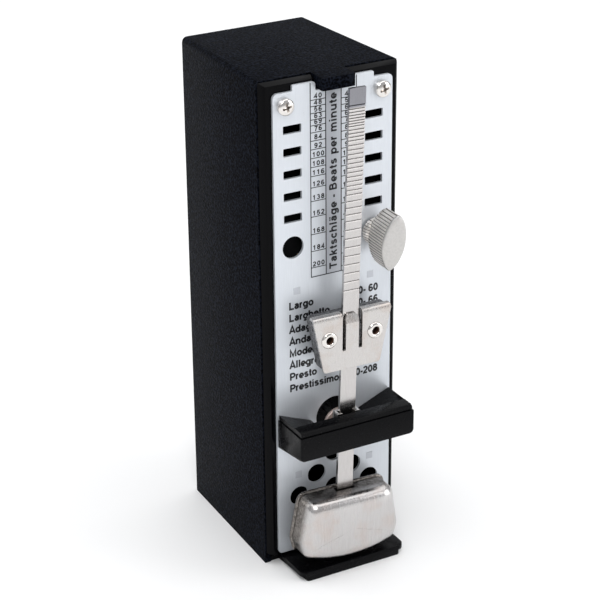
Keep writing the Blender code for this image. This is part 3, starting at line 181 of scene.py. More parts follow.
class Finish:
    """A Principled material with short helpers for its node tree."""

    def __init__(self, name, colour, roughness, metallic=0.0, **sockets):
        self.material = bpy.data.materials.new(name)
        self.material.use_nodes = True
        self.nodes = self.material.node_tree.nodes
        self.links = self.material.node_tree.links
        self.shader = self.nodes["Principled BSDF"]
        self.shader.inputs["Base Color"].default_value = (*colour, 1.0)
        self.shader.inputs["Roughness"].default_value = roughness
        self.shader.inputs["Metallic"].default_value = metallic
        for socket, value in sockets.items():
            self.shader.inputs[socket.replace("_", " ")].default_value = value
        self.coords = self.nodes.new("ShaderNodeTexCoord").outputs["Object"]
        self.normal = None

    def stretched(self, cell):
        """Coordinates divided by a cell size along each axis."""
        mapping = self.nodes.new("ShaderNodeMapping")
        mapping.inputs["Scale"].default_value = [1.0 / length for length in cell]
        self.links.new(self.coords, mapping.inputs["Vector"])
        return mapping.outputs["Vector"]

    def noise(self, cell, detail=3.0, roughness=0.55):
        node = self.nodes.new("ShaderNodeTexNoise")
        node.inputs["Scale"].default_value = 1.0
        node.inputs["Detail"].default_value = detail
        node.inputs["Roughness"].default_value = roughness
        self.links.new(self.stretched(cell), node.inputs["Vector"])
        return node.outputs["Fac"]

    def cells(self, cell):
        node = self.nodes.new("ShaderNodeTexVoronoi")
        node.feature = "SMOOTH_F1"
        node.inputs["Scale"].default_value = 1.0
        self.links.new(self.stretched(cell), node.inputs["Vector"])
        return node.outputs["Distance"]

    def ramp(self, value, *stops):
        """Maps a value to colours at given places; a stop is (place, colour or grey level)."""
        node = self.nodes.new("ShaderNodeValToRGB")
        elements = node.color_ramp.elements
        while len(elements) < len(stops):
            elements.new(0.5)
        for element, (place, colour) in zip(elements, stops):
            element.position = place
            shade = (colour,) * 3 if isinstance(colour, float) else colour
            element.color = (*shade, 1.0)
        self.links.new(value, node.inputs["Fac"])
        return node.outputs["Color"]

    def bump(self, height, distance, strength=1.0):
        """Adds a layer of bump over the ones already there."""
        node = self.nodes.new("ShaderNodeBump")
        node.inputs["Strength"].default_value = strength
        node.inputs["Distance"].default_value = distance
        self.links.new(height, node.inputs["Height"])
        if self.normal is not None:
            self.links.new(self.normal, node.inputs["Normal"])
        self.normal = node.outputs["Normal"]
        self.links.new(self.normal, self.shader.inputs["Normal"])

    def colour(self, output):
        self.links.new(output, self.shader.inputs["Base Color"])

    def rough(self, output):
        self.links.new(output, self.shader.inputs["Roughness"])

    def mixed(self, factor, first, second):
        node = self.nodes.new("ShaderNodeMix")
        node.data_type = "RGBA"
        self.links.new(factor, node.inputs[0])
        self.links.new(first, node.inputs[6])
        self.links.new(second, node.inputs[7])
        return node.outputs[2]

    def maths(self, operation, first, second=0.0):
        node = self.nodes.new("ShaderNodeMath")
        node.operation = operation
        self.links.new(first, node.inputs[0])
        node.inputs[1].default_value = second
        return node.outputs[0]

    def height_along(self, direction, origin):
        """Distance from an origin along a direction."""
        node = self.nodes.new("ShaderNodeVectorMath")
        node.operation = "DOT_PRODUCT"
        self.links.new(self.coords, node.inputs[0])
        node.inputs[1].default_value = direction
        return self.maths("SUBTRACT", node.outputs["Value"], Vector(direction).dot(Vector(origin)))

    def split_at(self, axis, level, blend):
        """0 below a place along an axis and 1 above it."""
        split = self.nodes.new("ShaderNodeSeparateXYZ")
        self.links.new(self.coords, split.inputs[0])
        node = self.nodes.new("ShaderNodeMapRange")
        node.inputs["From Min"].default_value = level - blend
        node.inputs["From Max"].default_value = level + blend
        self.links.new(split.outputs[axis], node.inputs["Value"])
        return node.outputs["Result"]


def grained_black():
    """Near-black plastic moulded with a fine leather grain."""
    finish = Finish("case_grain", (0.004, 0.0045, 0.006), 0.50, Specular_IOR_Level=0.015)
    pores = finish.cells((0.55 * MM,) * 3)
    fine = finish.noise((0.22 * MM,) * 3, 3.0)
    finish.bump(pores, 0.14 * MM, 0.9)
    finish.bump(fine, 0.06 * MM, 0.7)
    finish.colour(finish.ramp(pores, (0.28, (0.0002, 0.0002, 0.0005)), (0.64, (0.008, 0.010, 0.016))))
    finish.rough(finish.ramp(finish.noise((0.5 * MM,) * 3), (0.3, 0.40), (0.7, 0.60)))
    return finish.material


def black_plastic(name, colour, roughness, texture=0.012 * MM, level=0.06):
    finish = Finish(name, colour, roughness, Specular_IOR_Level=level)
    finish.bump(finish.noise((0.35 * MM,) * 3, 4.0), texture, 0.6)
    finish.bump(finish.noise((9 * MM, 9 * MM, 14 * MM), 1.5), 0.12 * MM, 0.25)
    wear = finish.noise((3 * MM,) * 3, 4.0)
    finish.rough(finish.ramp(wear, (0.3, roughness * 0.8), (0.75, roughness * 1.3)))
    return finish.material


def brushed_metal(name, colour, roughness, brush, streak, stain=None, metallic=1.0):
    """Metal with fine brush lines; brush is the lines' cell size along X, Y and Z."""
    finish = Finish(name, colour, roughness, metallic)
    lines = finish.noise(brush, 5.0, 0.6)
    low = tuple(c * (1 - streak) for c in colour)
    high = tuple(min(1.0, c * (1 + 0.6 * streak)) for c in colour)
    base = finish.ramp(lines, (0.3, low), (0.7, high))
    if stain is not None:
        patches = finish.noise((7 * MM,) * 3, 4.0, 0.6)
        mask = finish.ramp(patches, (0.48, 0.0), (0.68, 0.55))
        base = finish.mixed(mask, base, finish.ramp(lines, (0.3, stain), (0.7, stain)))
    finish.colour(base)
    finish.rough(finish.ramp(finish.noise(brush, 4.0), (0.25, roughness * 0.75), (0.75, roughness * 1.25)))
    finish.bump(lines, 0.004 * MM, 0.8)
    return finish.material


def rod_metal():
    finish = Finish("rod_nickel", (0.56, 0.54, 0.53), 0.20, 1.0)
    lines = finish.noise((0.08 * MM, 1 * MM, 2.5 * MM), 4.0)
    plain = finish.ramp(lines, (0.3, (0.50, 0.48, 0.47)), (0.7, (0.60, 0.58, 0.57)))
    dark = finish.ramp(lines, (0.3, (0.225, 0.225, 0.245)), (0.7, (0.27, 0.27, 0.29)))
    finish.colour(finish.mixed(finish.split_at("Z", ROD_BARE_Z, 0.15 * MM), plain, dark))
    finish.rough(finish.ramp(lines, (0.3, 0.16), (0.7, 0.24)))
    finish.bump(lines, 0.003 * MM, 0.6)
    return finish.material


def bob_metal():
    """Polished on the face; the flanks behind it are painted dark, partly as mottled brown tarnish and
    partly as painted shade on the sides.
    """
    finish = Finish("bob_steel", (0.58, 0.565, 0.56), 0.26, 1.0)
    lines = finish.noise((0.07 * MM, 1 * MM, 8 * MM), 5.0, 0.6)
    face = finish.ramp(lines, (0.3, (0.50, 0.485, 0.48)), (0.7, (0.62, 0.605, 0.60)))
    warm = finish.ramp(lines, (0.3, (0.50, 0.43, 0.40)), (0.7, (0.58, 0.50, 0.46)))
    patches = finish.ramp(finish.noise((7 * MM,) * 3, 4.0, 0.6), (0.48, 0.0), (0.68, 0.6))
    face = finish.mixed(patches, face, warm)
    mottle = finish.noise((0.7 * MM,) * 3, 5.0, 0.7)
    # painted shade: the flanks behind the face are darkened, mixed with a mottled brown tarnish
    flank_tarnish_and_shade = finish.ramp(mottle, (0.35, (0.07, 0.06, 0.055)), (0.7, (0.30, 0.28, 0.26)))
    back = finish.split_at("Y", depth(BOB_FRONT + 3.6 * MM), 1.5 * MM)
    finish.colour(finish.mixed(back, face, flank_tarnish_and_shade))
    finish.rough(finish.ramp(lines, (0.25, 0.20), (0.75, 0.32)))
    finish.bump(lines, 0.006 * MM, 0.8)
    finish.bump(mottle, 0.01 * MM, 0.5)
    return finish.material


def key_metal():
    """Satin face, with painted shade in the grooves that run back from it and a painted highlight on the
    ribs between them.
    """
    finish = Finish("key_nickel", (0.66, 0.63, 0.60), 0.36, 0.85)
    grain = finish.noise((0.6 * MM,) * 3, 4.0)
    plain_face = finish.ramp(grain, (0.3, (0.48, 0.47, 0.455)), (0.7, (0.56, 0.545, 0.53)))
    lean = math.radians(KEY_LEAN)
    height = finish.height_along((math.sin(lean), 0.0, math.cos(lean)), (KEY_X, 0.0, KEY_Z))
    phase = finish.maths("MULTIPLY", height, math.pi / KEY_RIB_PITCH)
    wave = finish.maths("ABSOLUTE", finish.maths("SINE", phase))
    # painted shade darkens the groove bottoms and a painted highlight brightens the rib crests
    rib_shade_and_highlight = finish.ramp(wave, (0.12, (0.05, 0.035, 0.025)), (0.50, (0.88, 0.83, 0.78)))
    back = finish.split_at("Y", depth(KEY_FRONT + 0.8 * MM), 0.1 * MM)
    finish.colour(finish.mixed(back, plain_face, rib_shade_and_highlight))
    finish.rough(finish.ramp(grain, (0.3, 0.30), (0.7, 0.42)))
    finish.bump(grain, 0.008 * MM, 0.6)
    return finish.material


def cast_grey():
    finish = Finish("weight_casting", (0.12, 0.12, 0.125), 0.45, 0.8)
    mottle = finish.noise((0.8 * MM,) * 3, 6.0, 0.75)
    finish.colour(finish.ramp(mottle, (0.40, (0.02, 0.02, 0.022)), (0.66, (0.33, 0.33, 0.34))))
    finish.rough(finish.ramp(mottle, (0.3, 0.3), (0.7, 0.6)))
    finish.bump(mottle, 0.08 * MM, 0.8)
    return finish.material


def ink(name, colour):
    finish = Finish(name, colour, 0.45)
    finish.bump(finish.noise((0.1 * MM,) * 3), 0.004 * MM, 0.5)
    return finish.material


GRAIN = grained_black()
GLOSS = black_plastic("frame_gloss", (0.0015, 0.0015, 0.002), 0.20)
BAR = black_plastic("bar_satin", (0.002, 0.002, 0.0025), 0.27, level=0.08)
TRAY = black_plastic("tray_satin", (0.002, 0.002, 0.0025), 0.25, level=0.08)
DARK = black_plastic("movement_black", (0.012, 0.012, 0.013), 0.45, 0.02 * MM)
PLATE = brushed_metal("plate_aluminium", (0.63, 0.66, 0.70), 0.36, (0.06 * MM, 1 * MM, 6 * MM), 0.08,
                      metallic=0.45)
BANDED = brushed_metal("plate_band", (0.50, 0.52, 0.56), 0.38, (0.06 * MM, 1 * MM, 6 * MM), 0.08,
                       metallic=0.45)
ROD = rod_metal()
SATIN = brushed_metal("slider_nickel", (0.58, 0.56, 0.545), 0.27, (0.10 * MM, 1 * MM, 3 * MM), 0.07,
                      stain=(0.50, 0.42, 0.37))
BOB = bob_metal()
KEY = key_metal()
BRIGHT = brushed_metal("bright_nickel", (0.74, 0.71, 0.68), 0.14, (0.5 * MM,) * 3, 0.05)
PINK = brushed_metal("hub_steel", (0.70, 0.57, 0.52), 0.42, (0.5 * MM,) * 3, 0.12, metallic=0.7)
BORE = brushed_metal("bore_brown", (0.13, 0.075, 0.055), 0.45, (0.4 * MM,) * 3, 0.2)
STEEL = brushed_metal("plain_steel", (0.56, 0.56, 0.57), 0.34, (0.3 * MM,) * 3, 0.12)
BRASS = brushed_metal("cut_brass", (0.76, 0.56, 0.24), 0.30, (0.4 * MM,) * 3, 0.12)
CASTING = cast_grey()
INK = ink("scale_ink", (0.006, 0.006, 0.008))
LOOK_OF_SLOT = {"case_black": GRAIN, "frame_black": GLOSS, "bar_black": BAR, "scale_aluminium": PLATE,
                "nickel": SATIN, "steel": STEEL, "brass": BRASS, "plate_black": DARK,
                "weight_grey": CASTING}


# Mesh helpers

def axis_point(axis, u, v, along):
    """Point with in-plane coordinates u, v and a position along the axis."""
    if axis == "X":
        return Vector((along, u, v))
    if axis == "Y":
        return Vector((u, along, v))
    return Vector((u, v, along))


def settled(bm):
    bmesh.ops.recalc_face_normals(bm, faces=bm.faces[:])
    return bm


def extruded(outline, holes, axis, low, high):
    """Closed solid from a flat outline with holes, between two positions along an axis."""
    flat = bmesh.new()
    loops = []
    for points in [outline, *holes]:
        verts = [flat.verts.new(axis_point(axis, u, v, 0.0)) for u, v in points]
        loops.append(verts)
        for a, b in zip(verts, verts[1:] + verts[:1]):
            flat.edges.new((a, b))
    bmesh.ops.triangle_fill(flat, use_beauty=True, edges=flat.edges[:])
    flat.verts.index_update()
    bm = bmesh.new()
    caps = [[bm.verts.new(v.co + axis_point(axis, 0.0, 0.0, along)) for v in flat.verts]
            for along in (low, high)]
    for face in flat.faces:
        corners = [v.index for v in face.verts]
        bm.faces.new([caps[0][i] for i in corners])
        bm.faces.new([caps[1][i] for i in reversed(corners)])
    for loop in loops:
        indices = [v.index for v in loop]
        for i, j in zip(indices, indices[1:] + indices[:1]):
            bm.faces.new((caps[0][i], caps[0][j], caps[1][j], caps[1][i]))
    flat.free()
    return settled(bm)


def lofted(sections):
    """Closed solid through rings of points, with flat ends."""
    bm = bmesh.new()
    rings = [[bm.verts.new(p) for p in ring] for ring in sections]
    count = len(rings[0])
    for ring, following in zip(rings, rings[1:]):
        for i in range(count):
            j = (i + 1) % count
            bm.faces.new((ring[i], ring[j], following[j], following[i]))
    bm.faces.new(rings[0])
    bm.faces.new(rings[-1])
    return settled(bm)


def turned(profile, axis, centre, segments=48):
    """Closed solid of revolution; profile is (radius, along) and closes on itself or on the axis."""
    bm = bmesh.new()
    rings = []
    for radius, along in profile:
        count = 1 if radius == 0.0 else segments
        angles = [2 * math.pi * i / segments for i in range(count)]
        rings.append([bm.verts.new(axis_point(axis, centre[0] + radius * math.cos(a),
                                              centre[1] + radius * math.sin(a), along)) for a in angles])
    closing = [] if profile[0][0] == 0.0 else rings[:1]
    for first, second in zip(rings, rings[1:] + closing):
        for i in range(segments):
            j = (i + 1) % segments
            corners = [first[i % len(first)], first[j % len(first)],
                       second[j % len(second)], second[i % len(second)]]
            unique = list(dict.fromkeys(corners))
            if len(unique) > 2:
                bm.faces.new(unique)
    return settled(bm)


def merged(*parts):
    """Several closed solids in one mesh."""
    bm = bmesh.new()
    for part in parts:
        mesh = bpy.data.meshes.new("merge")
        part.to_mesh(mesh)
        part.free()
        bm.from_mesh(mesh)
        bpy.data.meshes.remove(mesh)
    return bm


def block(x_range, y_range, z_range):
    outline = [(x_range[0], y_range[0]), (x_range[1], y_range[0]), (x_range[1], y_range[1]),
               (x_range[0], y_range[1])]
    return extruded(outline, [], "Z", *z_range)


def circle(u, v, radius, segments=48):
    step = 2 * math.pi / segments
    return [(u + radius * math.cos(i * step), v + radius * math.sin(i * step))
            for i in range(segments)]


def quarter_turn(steps):
    """Angles from 0 to a right angle, in radians."""
    return [math.radians(90 * k / steps) for k in range(steps + 1)]


def oblong(u_range, v_range, radius):
    """Rectangular outline with small rounded corners."""
    (left, right), (low, high) = u_range, v_range
    corners = ((left, low), (right, low), (right, high), (left, high))
    return rounded([(u, v, radius) for u, v in corners], 3)


def rounded(points, steps=6):
    """Outline whose corners (u, v, radius) are rounded with arcs of a few steps."""
    result = []
    count = len(points)
    for i, (u, v, radius) in enumerate(points):
        corner = Vector((u, v))
        if radius == 0.0:
            result.append((u, v))
            continue
        before = (Vector(points[i - 1][:2]) - corner).normalized()
        after = (Vector(points[(i + 1) % count][:2]) - corner).normalized()
        half = before.angle(after) / 2
        centre = corner + (before + after).normalized() * radius / math.sin(half)
        start = corner + before * radius / math.tan(half) - centre
        turn = (math.pi - 2 * half) * (-1 if before.cross(after) > 0 else 1)
        for k in range(steps + 1):
            angle = turn * k / steps
            cos_a, sin_a = math.cos(angle), math.sin(angle)
            result.append((centre.x + start.x * cos_a - start.y * sin_a,
                           centre.y + start.x * sin_a + start.y * cos_a))
    return result


def mirrored(side):
    """Closed outline from the points of its right half, listed from the bottom up."""
    return side + [(-u, v, r) for u, v, r in reversed(side)]


def piece(name, bm, look, body, nodes=(), bevel=0.0, place=None, crease=30.0, segments=3):
    """Makes a visible piece that rides on a body and stands for the CAD nodes given."""
    mesh = bpy.data.meshes.new(name)
    bm.to_mesh(mesh)
    bm.free()
    mesh.materials.append(look)
    mesh.shade_smooth()
    obj = bpy.data.objects.new(name, mesh)
    bpy.context.scene.collection.objects.link(obj)
    if place is not None:
        mesh.transform(place)
    if bevel:
        modifier = obj.modifiers.new("Edges", "BEVEL")
        modifier.width = bevel
        modifier.segments = segments
        modifier.limit_method = "ANGLE"
        modifier.angle_limit = math.radians(crease)
        modifier.harden_normals = True
        modifier.use_clamp_overlap = True
    else:
        mesh.set_sharp_from_angle(angle=math.radians(crease))
    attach(obj, body)
    if nodes:
        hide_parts(*nodes)
    return obj


def cut(obj, cutter_bm, place=None):
    """Applies a Boolean cut to a piece's mesh, under its other modifiers."""
    mesh = bpy.data.meshes.new("cutter")
    cutter_bm.to_mesh(mesh)
    cutter_bm.free()
    if place is not None:
        mesh.transform(place)
    cutter = bpy.data.objects.new("cutter", mesh)
    bare = bpy.data.objects.new("bare", obj.data)
    for helper in (cutter, bare):
        bpy.context.scene.collection.objects.link(helper)
    modifier = bare.modifiers.new("Cut", "BOOLEAN")
    modifier.object = cutter
    modifier.solver = "EXACT"
    graph = bpy.context.evaluated_depsgraph_get()
    result = bpy.data.meshes.new_from_object(bare.evaluated_get(graph))
    bpy.data.objects.remove(bare)
    bpy.data.objects.remove(cutter)
    old, obj.data = obj.data, result
    result.name = old.name
    return obj


def refined(node, look, bevel):
    """A copy of a CAD node with joined faces, rounded edges and its own look."""
    source = frame["nodes"][node]
    bm = bmesh.new()
    bm.from_mesh(source.data)
    bmesh.ops.remove_doubles(bm, verts=bm.verts[:], dist=2e-6)
    bmesh.ops.dissolve_limit(bm, angle_limit=math.radians(0.6), verts=bm.verts[:], edges=bm.edges[:])
    return piece(f"{node}_look", settled(bm), look, source["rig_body"], (node,), bevel)


# Case, frame and plate

def build_case():
    refined("case_shell", GRAIN, 0.22 * MM)
    refined("front_frame", GLOSS, 0.30 * MM)
    refined("base_tray", TRAY, 0.35 * MM)


def plate_outline():
    side = [(PLATE_HALF_W, PLATE_BOTTOM, 1.2 * MM), (PLATE_HALF_W, PLATE_SHOULDER, 1.5 * MM),
            (PLATE_TAB_OUT, PLATE_SHOULDER, 0.3 * MM), (PLATE_TAB_OUT, PLATE_TAB_TOP, 0.5 * MM),
            (PLATE_TAB_IN, PLATE_TAB_TOP, 0.8 * MM), (PLATE_TAB_IN, PLATE_NOTCH, 0.2 * MM)]
    return rounded(mirrored(side))


def plate_holes():
    slot_x, top_z, pitch, length, height = SLOT
    radius, step, low_z = SOUND_HOLE
    holes = [circle(0.0, PIVOT_Z, PIVOT_HOLE_R, 64)]
    for side in (-1, 1):
        for i in range(SLOT_COUNT):
            u, v = side * slot_x, top_z - i * pitch
            holes.append(oblong((u - length / 2, u + length / 2), (v - height / 2, v + height / 2),
                                0.25 * MM))
        holes.append(circle(side * PLATE_SCREW[0], PLATE_SCREW[1], 1.6 * MM, 24))
        holes.append(circle(side * KEY_X, KEY_Z, KEY_HOLE_R))
        holes.append(circle(side * PEG[0], PEG[1], PEG[2], 24))
    for u, level in ((0, 2), (-1, 1), (1, 1), (-2, 0), (0, 0), (2, 0)):
        holes.append(circle(u * step, low_z + level * step, radius))
    return holes


def build_plate():
    front = depth(PLATE_FRONT)
    piece("scale_plate_look", extruded(plate_outline(), plate_holes(), "Y", front, front + PLATE_T),
          PLATE, "case", ("scale_plate",), 0.14 * MM)
    marks = []
    for x, z in DIMPLES:
        for side in (-1, 1):
            half = 1.1 * MM
            wedge = [[Vector((side * x - half * s, front - t, z + half * s)),
                      Vector((side * x + half * s, front - t - 0.10 * MM * s, z + half * s)),
                      Vector((side * x + half * s, front - t - 0.10 * MM * s, z - half * s)),
                      Vector((side * x - half * s, front - t, z - half * s))]
                     for s, t in ((1.0, -0.05 * MM), (0.9, 0.05 * MM))]
            marks.append(lofted(wedge))
    piece("plate_marks", merged(*marks), BANDED, "case")


# Printing: letters are strokes of one width, drawn in units of the capital height

def bow(cx, cz, rx, rz, start, end):
    """Points along an elliptical arc, in degrees."""
    count = max(3, round(abs(end - start) / 22))
    angles = [math.radians(start + (end - start) * k / count) for k in range(count + 1)]
    return [(cx + rx * math.cos(a), cz + rz * math.sin(a)) for a in angles]


def stem(x, low, high):
    return [(x, low), (x, high)]


def letter_strokes():
    """Advance width and strokes of every character the scale needs."""
    low_a = [bow(0.37, 0.48, 0.22, 0.16, 165, 0) + [(0.59, 0.14), (0.65, 0.07)],
             [(0.59, 0.42)] + bow(0.33, 0.24, 0.19, 0.15, 90, 300) + [(0.59, 0.26)]]
    arch = [(0.15, 0.36)] + bow(0.41, 0.40, 0.26, 0.24, 165, 0) + [(0.67, 0.0)]
    bowl = bow(0.40, 0.365, 0.27, 0.275, 0, 360)
    short = stem(0.15, 0.0, 0.73)
    return {
        " ": (0.39, []), "-": (0.46, [[(0.06, 0.36), (0.41, 0.36)]]),
        "0": (0.78, [bow(0.39, 0.5, 0.25, 0.41, 0, 360)]),
        "1": (0.78, [stem(0.44, 0.0, 1.0), [(0.46, 0.90), (0.36, 0.80), (0.16, 0.74)]]),
        "2": (0.78, [bow(0.38, 0.69, 0.25, 0.22, 170, -35) + [(0.16, 0.16), (0.14, 0.09), (0.67, 0.09)]]),
        "3": (0.78, [bow(0.37, 0.72, 0.21, 0.19, 155, -90), bow(0.37, 0.31, 0.26, 0.22, 90, -155)]),
        "4": (0.78, [[(0.53, 0.0), (0.53, 0.93), (0.10, 0.30), (0.72, 0.30)]]),
        "5": (0.78, [[(0.64, 0.91), (0.23, 0.91), (0.16, 0.50)] + bow(0.38, 0.33, 0.26, 0.24, 125, -155)]),
        "6": (0.78, [bow(0.39, 0.31, 0.25, 0.22, 0, 360), bow(0.42, 0.50, 0.28, 0.41, 45, 200)]),
        "7": (0.78, [[(0.10, 0.91), (0.66, 0.91), (0.46, 0.55), (0.31, 0.0)]]),
        "8": (0.78, [bow(0.39, 0.73, 0.21, 0.18, 0, 360), bow(0.39, 0.31, 0.25, 0.22, 0, 360)]),
        "9": (0.78, [bow(0.38, 0.69, 0.25, 0.22, 0, 360), bow(0.35, 0.50, 0.28, 0.41, 20, -135)]),
        "A": (0.98, [[(0.09, 0.0), (0.49, 1.0), (0.89, 0.0)], [(0.24, 0.30), (0.74, 0.30)]]),
        "B": (1.0, [stem(0.18, 0.0, 1.0),
                    [(0.18, 0.91)] + bow(0.50, 0.73, 0.22, 0.18, 90, -90) + [(0.18, 0.55)],
                    [(0.18, 0.55)] + bow(0.54, 0.32, 0.26, 0.23, 90, -90) + [(0.18, 0.09)]]),
        "L": (0.85, [[(0.18, 1.0), (0.18, 0.09), (0.78, 0.09)]]),
        "M": (1.16, [[(0.18, 0.0), (0.18, 0.96), (0.58, 0.12), (0.98, 0.96), (0.98, 0.0)]]),
        "P": (0.93, [stem(0.18, 0.0, 1.0), [(0.18, 0.91)] + bow(0.53, 0.67, 0.26, 0.24, 90, -90)
                     + [(0.18, 0.43)]]),
        "T": (0.85, [[(0.03, 0.91), (0.82, 0.91)], stem(0.425, 0.0, 0.91)]),
        "a": (0.78, low_a), "ä": (0.78, low_a + [stem(0.24, 0.84, 1.0), stem(0.52, 0.84, 1.0)]),
        "c": (0.78, [bow(0.40, 0.365, 0.28, 0.275, 40, 320)]),
        "d": (0.85, [bowl, stem(0.69, 0.0, 1.0)]),
        "e": (0.78, [[(0.14, 0.345)] + bow(0.39, 0.365, 0.275, 0.275, -4, 315)]),
        "g": (0.85, [bowl, [(0.69, 0.73), (0.69, 0.0)] + bow(0.41, -0.03, 0.28, 0.15, 0, -150)]),
        "h": (0.85, [stem(0.15, 0.0, 1.0), arch]),
        "i": (0.39, [stem(0.19, 0.0, 0.73), stem(0.19, 0.84, 1.0)]),
        "k": (0.78, [stem(0.15, 0.0, 1.0), [(0.62, 0.73), (0.17, 0.28)], [(0.34, 0.46), (0.64, 0.0)]]),
        "l": (0.39, [stem(0.19, 0.0, 1.0)]),
        "m": (1.20, [short, [(0.15, 0.40)] + bow(0.37, 0.43, 0.22, 0.21, 165, 0) + [(0.59, 0.0)],
                     [(0.59, 0.40)] + bow(0.81, 0.43, 0.22, 0.21, 165, 0) + [(1.03, 0.0)]]),
        "n": (0.85, [short, arch]),
        "o": (0.85, [bow(0.42, 0.365, 0.28, 0.275, 0, 360)]),
        "p": (0.85, [stem(0.15, -0.27, 0.73), bow(0.44, 0.365, 0.27, 0.275, 0, 360)]),
        "r": (0.54, [short, [(0.15, 0.36)] + bow(0.40, 0.38, 0.25, 0.26, 165, 80)]),
        "s": (0.78, [bow(0.38, 0.51, 0.21, 0.135, 20, 262) + bow(0.38, 0.23, 0.24, 0.145, 80, -158)]),
        "t": (0.46, [[(0.22, 0.93), (0.22, 0.20), (0.26, 0.11), (0.42, 0.08)],
                     [(0.04, 0.64), (0.42, 0.64)]]),
        "u": (0.85, [stem(0.67, 0.0, 0.73), [(0.15, 0.73)] + bow(0.41, 0.33, 0.26, 0.24, 180, 345)]),
    }


LETTERS = letter_strokes()


def ribbon(bm, path, half, place):
    """Adds a thin closed strip of even width along a path in the XZ plane."""
    points = [Vector(p) for p in path]
    loop = (points[0] - points[-1]).length < 1e-6
    if loop:
        points.pop()
    count = len(points)
    rings = []
    for i, point in enumerate(points):
        before = points[i - 1] if loop or i else None
        after = points[(i + 1) % count] if loop or i < count - 1 else None
        arrive = (point - before).normalized() if before is not None else (after - point).normalized()
        leave = (after - point).normalized() if after is not None else arrive
        across = Vector((-(arrive + leave).y, (arrive + leave).x)).normalized()
        reach = half / max(0.45, across.dot(Vector((-arrive.y, arrive.x))))
        sides = (point + across * reach, point - across * reach)
        corners = [(sides[0], -INK_T), (sides[1], -INK_T), (sides[1], 0.5 * INK_T), (sides[0], 0.5 * INK_T)]
        rings.append([bm.verts.new(place @ Vector((side.x, y, side.y))) for side, y in corners])
    pairs = list(zip(rings, rings[1:] + (rings[:1] if loop else [])))
    for ring, following in pairs:
        for k in range(4):
            bm.faces.new((ring[k], ring[(k + 1) % 4], following[(k + 1) % 4], following[k]))
    if not loop:
        bm.faces.new(rings[0])
        bm.faces.new(rings[-1])


def natural_width(text, spacing):
    """Width of a line of text in units of the capital height."""
    return sum(LETTERS[character][0] + spacing for character in text) - spacing


def placed_text(text, cap, x, z, anchor, weight, stretch=None, turned_up=False, spacing=0.0):
    """Letters at a place on the plate; anchor 0 is left, 0.5 centre and 1 right."""
    stretch = stretch or cap
    place = Matrix.Translation((x, depth(PLATE_FRONT), z))
    if turned_up:
        place = place @ Matrix.Rotation(-math.pi / 2, 4, "Y")
    bm = bmesh.new()
    start = -anchor * natural_width(text, spacing)
    for character in text:
        advance, strokes = LETTERS[character]
        for path in strokes:
            scaled = [((start + u) * stretch, v * cap) for u, v in path]
            ribbon(bm, scaled, weight / 2, place)
        start += advance + spacing
    return settled(bm)


def ink_bar(x0, x1, z0, z1):
    front = depth(PLATE_FRONT)
    return block((x0, x1), (front - INK_T, front + INK_T), (z0, z1))


def line_height(tempo):
    """Height of a left-hand line: even steps per beat, closing up towards the slow end."""
    share = (tempo - LEFT_TEMPOS[0]) / (LEFT_TEMPOS[-1] - LEFT_TEMPOS[0])
    even = LINE_TOP + (LINE_LOW - LINE_TOP) * share
    return even + LINE_BEND * share * (1 - share) ** LINE_BEND_POWER


def build_scale():
    inner, outer = SCALE_LINES_X
    half = SCALE_LINE_W / 2
    front = depth(PLATE_FRONT)
    band = block((-inner, inner), (front - 0.5 * INK_T, front + INK_T),
                 (SCALE_BOTTOM, PLATE_NOTCH - 0.15 * MM))
    piece("scale_band", band, BANDED, "case")
    bars = [ink_bar(-outer - half, outer + half, SCALE_BOTTOM - half, SCALE_BOTTOM + half)]
    for x in SCALE_LINES_X:
        top = PLATE_NOTCH if x == inner else PLATE_TAB_TOP
        for side in (-1, 1):
            bars.append(ink_bar(side * x - half, side * x + half, SCALE_BOTTOM, top - 0.2 * MM))
    lines = [line_height(tempo) for tempo in LEFT_TEMPOS]
    middles = [(a + b) / 2 for a, b in zip(lines, lines[1:] + [SCALE_BOTTOM])]
    numbers = []
    for tempos, levels, side in ((LEFT_TEMPOS, lines, -1), (RIGHT_TEMPOS, middles, 1)):
        for tempo, z in zip(tempos, levels):
            bars.append(ink_bar(*sorted((side * inner, side * outer)), z - 0.8 * half, z + 0.8 * half))
            numbers.append(placed_text(str(tempo), NUMBER_CAP, side * (inner + outer) / 2,
                                       z + 0.36 * MM, 0.5, NUMBER_WEIGHT, spacing=0.16))
    piece("scale_lines", merged(*bars), INK, "case")
    piece("scale_numbers", merged(*numbers), INK, "case")
    start, end = CAPTION_SPAN
    gap = 0.06
    caption = placed_text(CAPTION, CAPTION_CAP, 0.42 * CAPTION_CAP, start, 0.0, CAPTION_WEIGHT,
                          (end - start) / natural_width(CAPTION, gap), True, gap)
    piece("scale_caption", caption, INK, "case")
    words = []
    for row, (term, span) in enumerate(TERMS):
        z = TERMS_TOP - row * TERMS_PITCH
        for text, x, anchor in ((term, TERMS_LEFT, 0.0), (span, TERMS_RIGHT, 1.0)):
            words.append(placed_text(text, TERMS_CAP, x, z, anchor, TERMS_WEIGHT, TERMS_STRETCH))
    piece("tempo_terms", merged(*words), INK, "case")


# Screws and crossbar

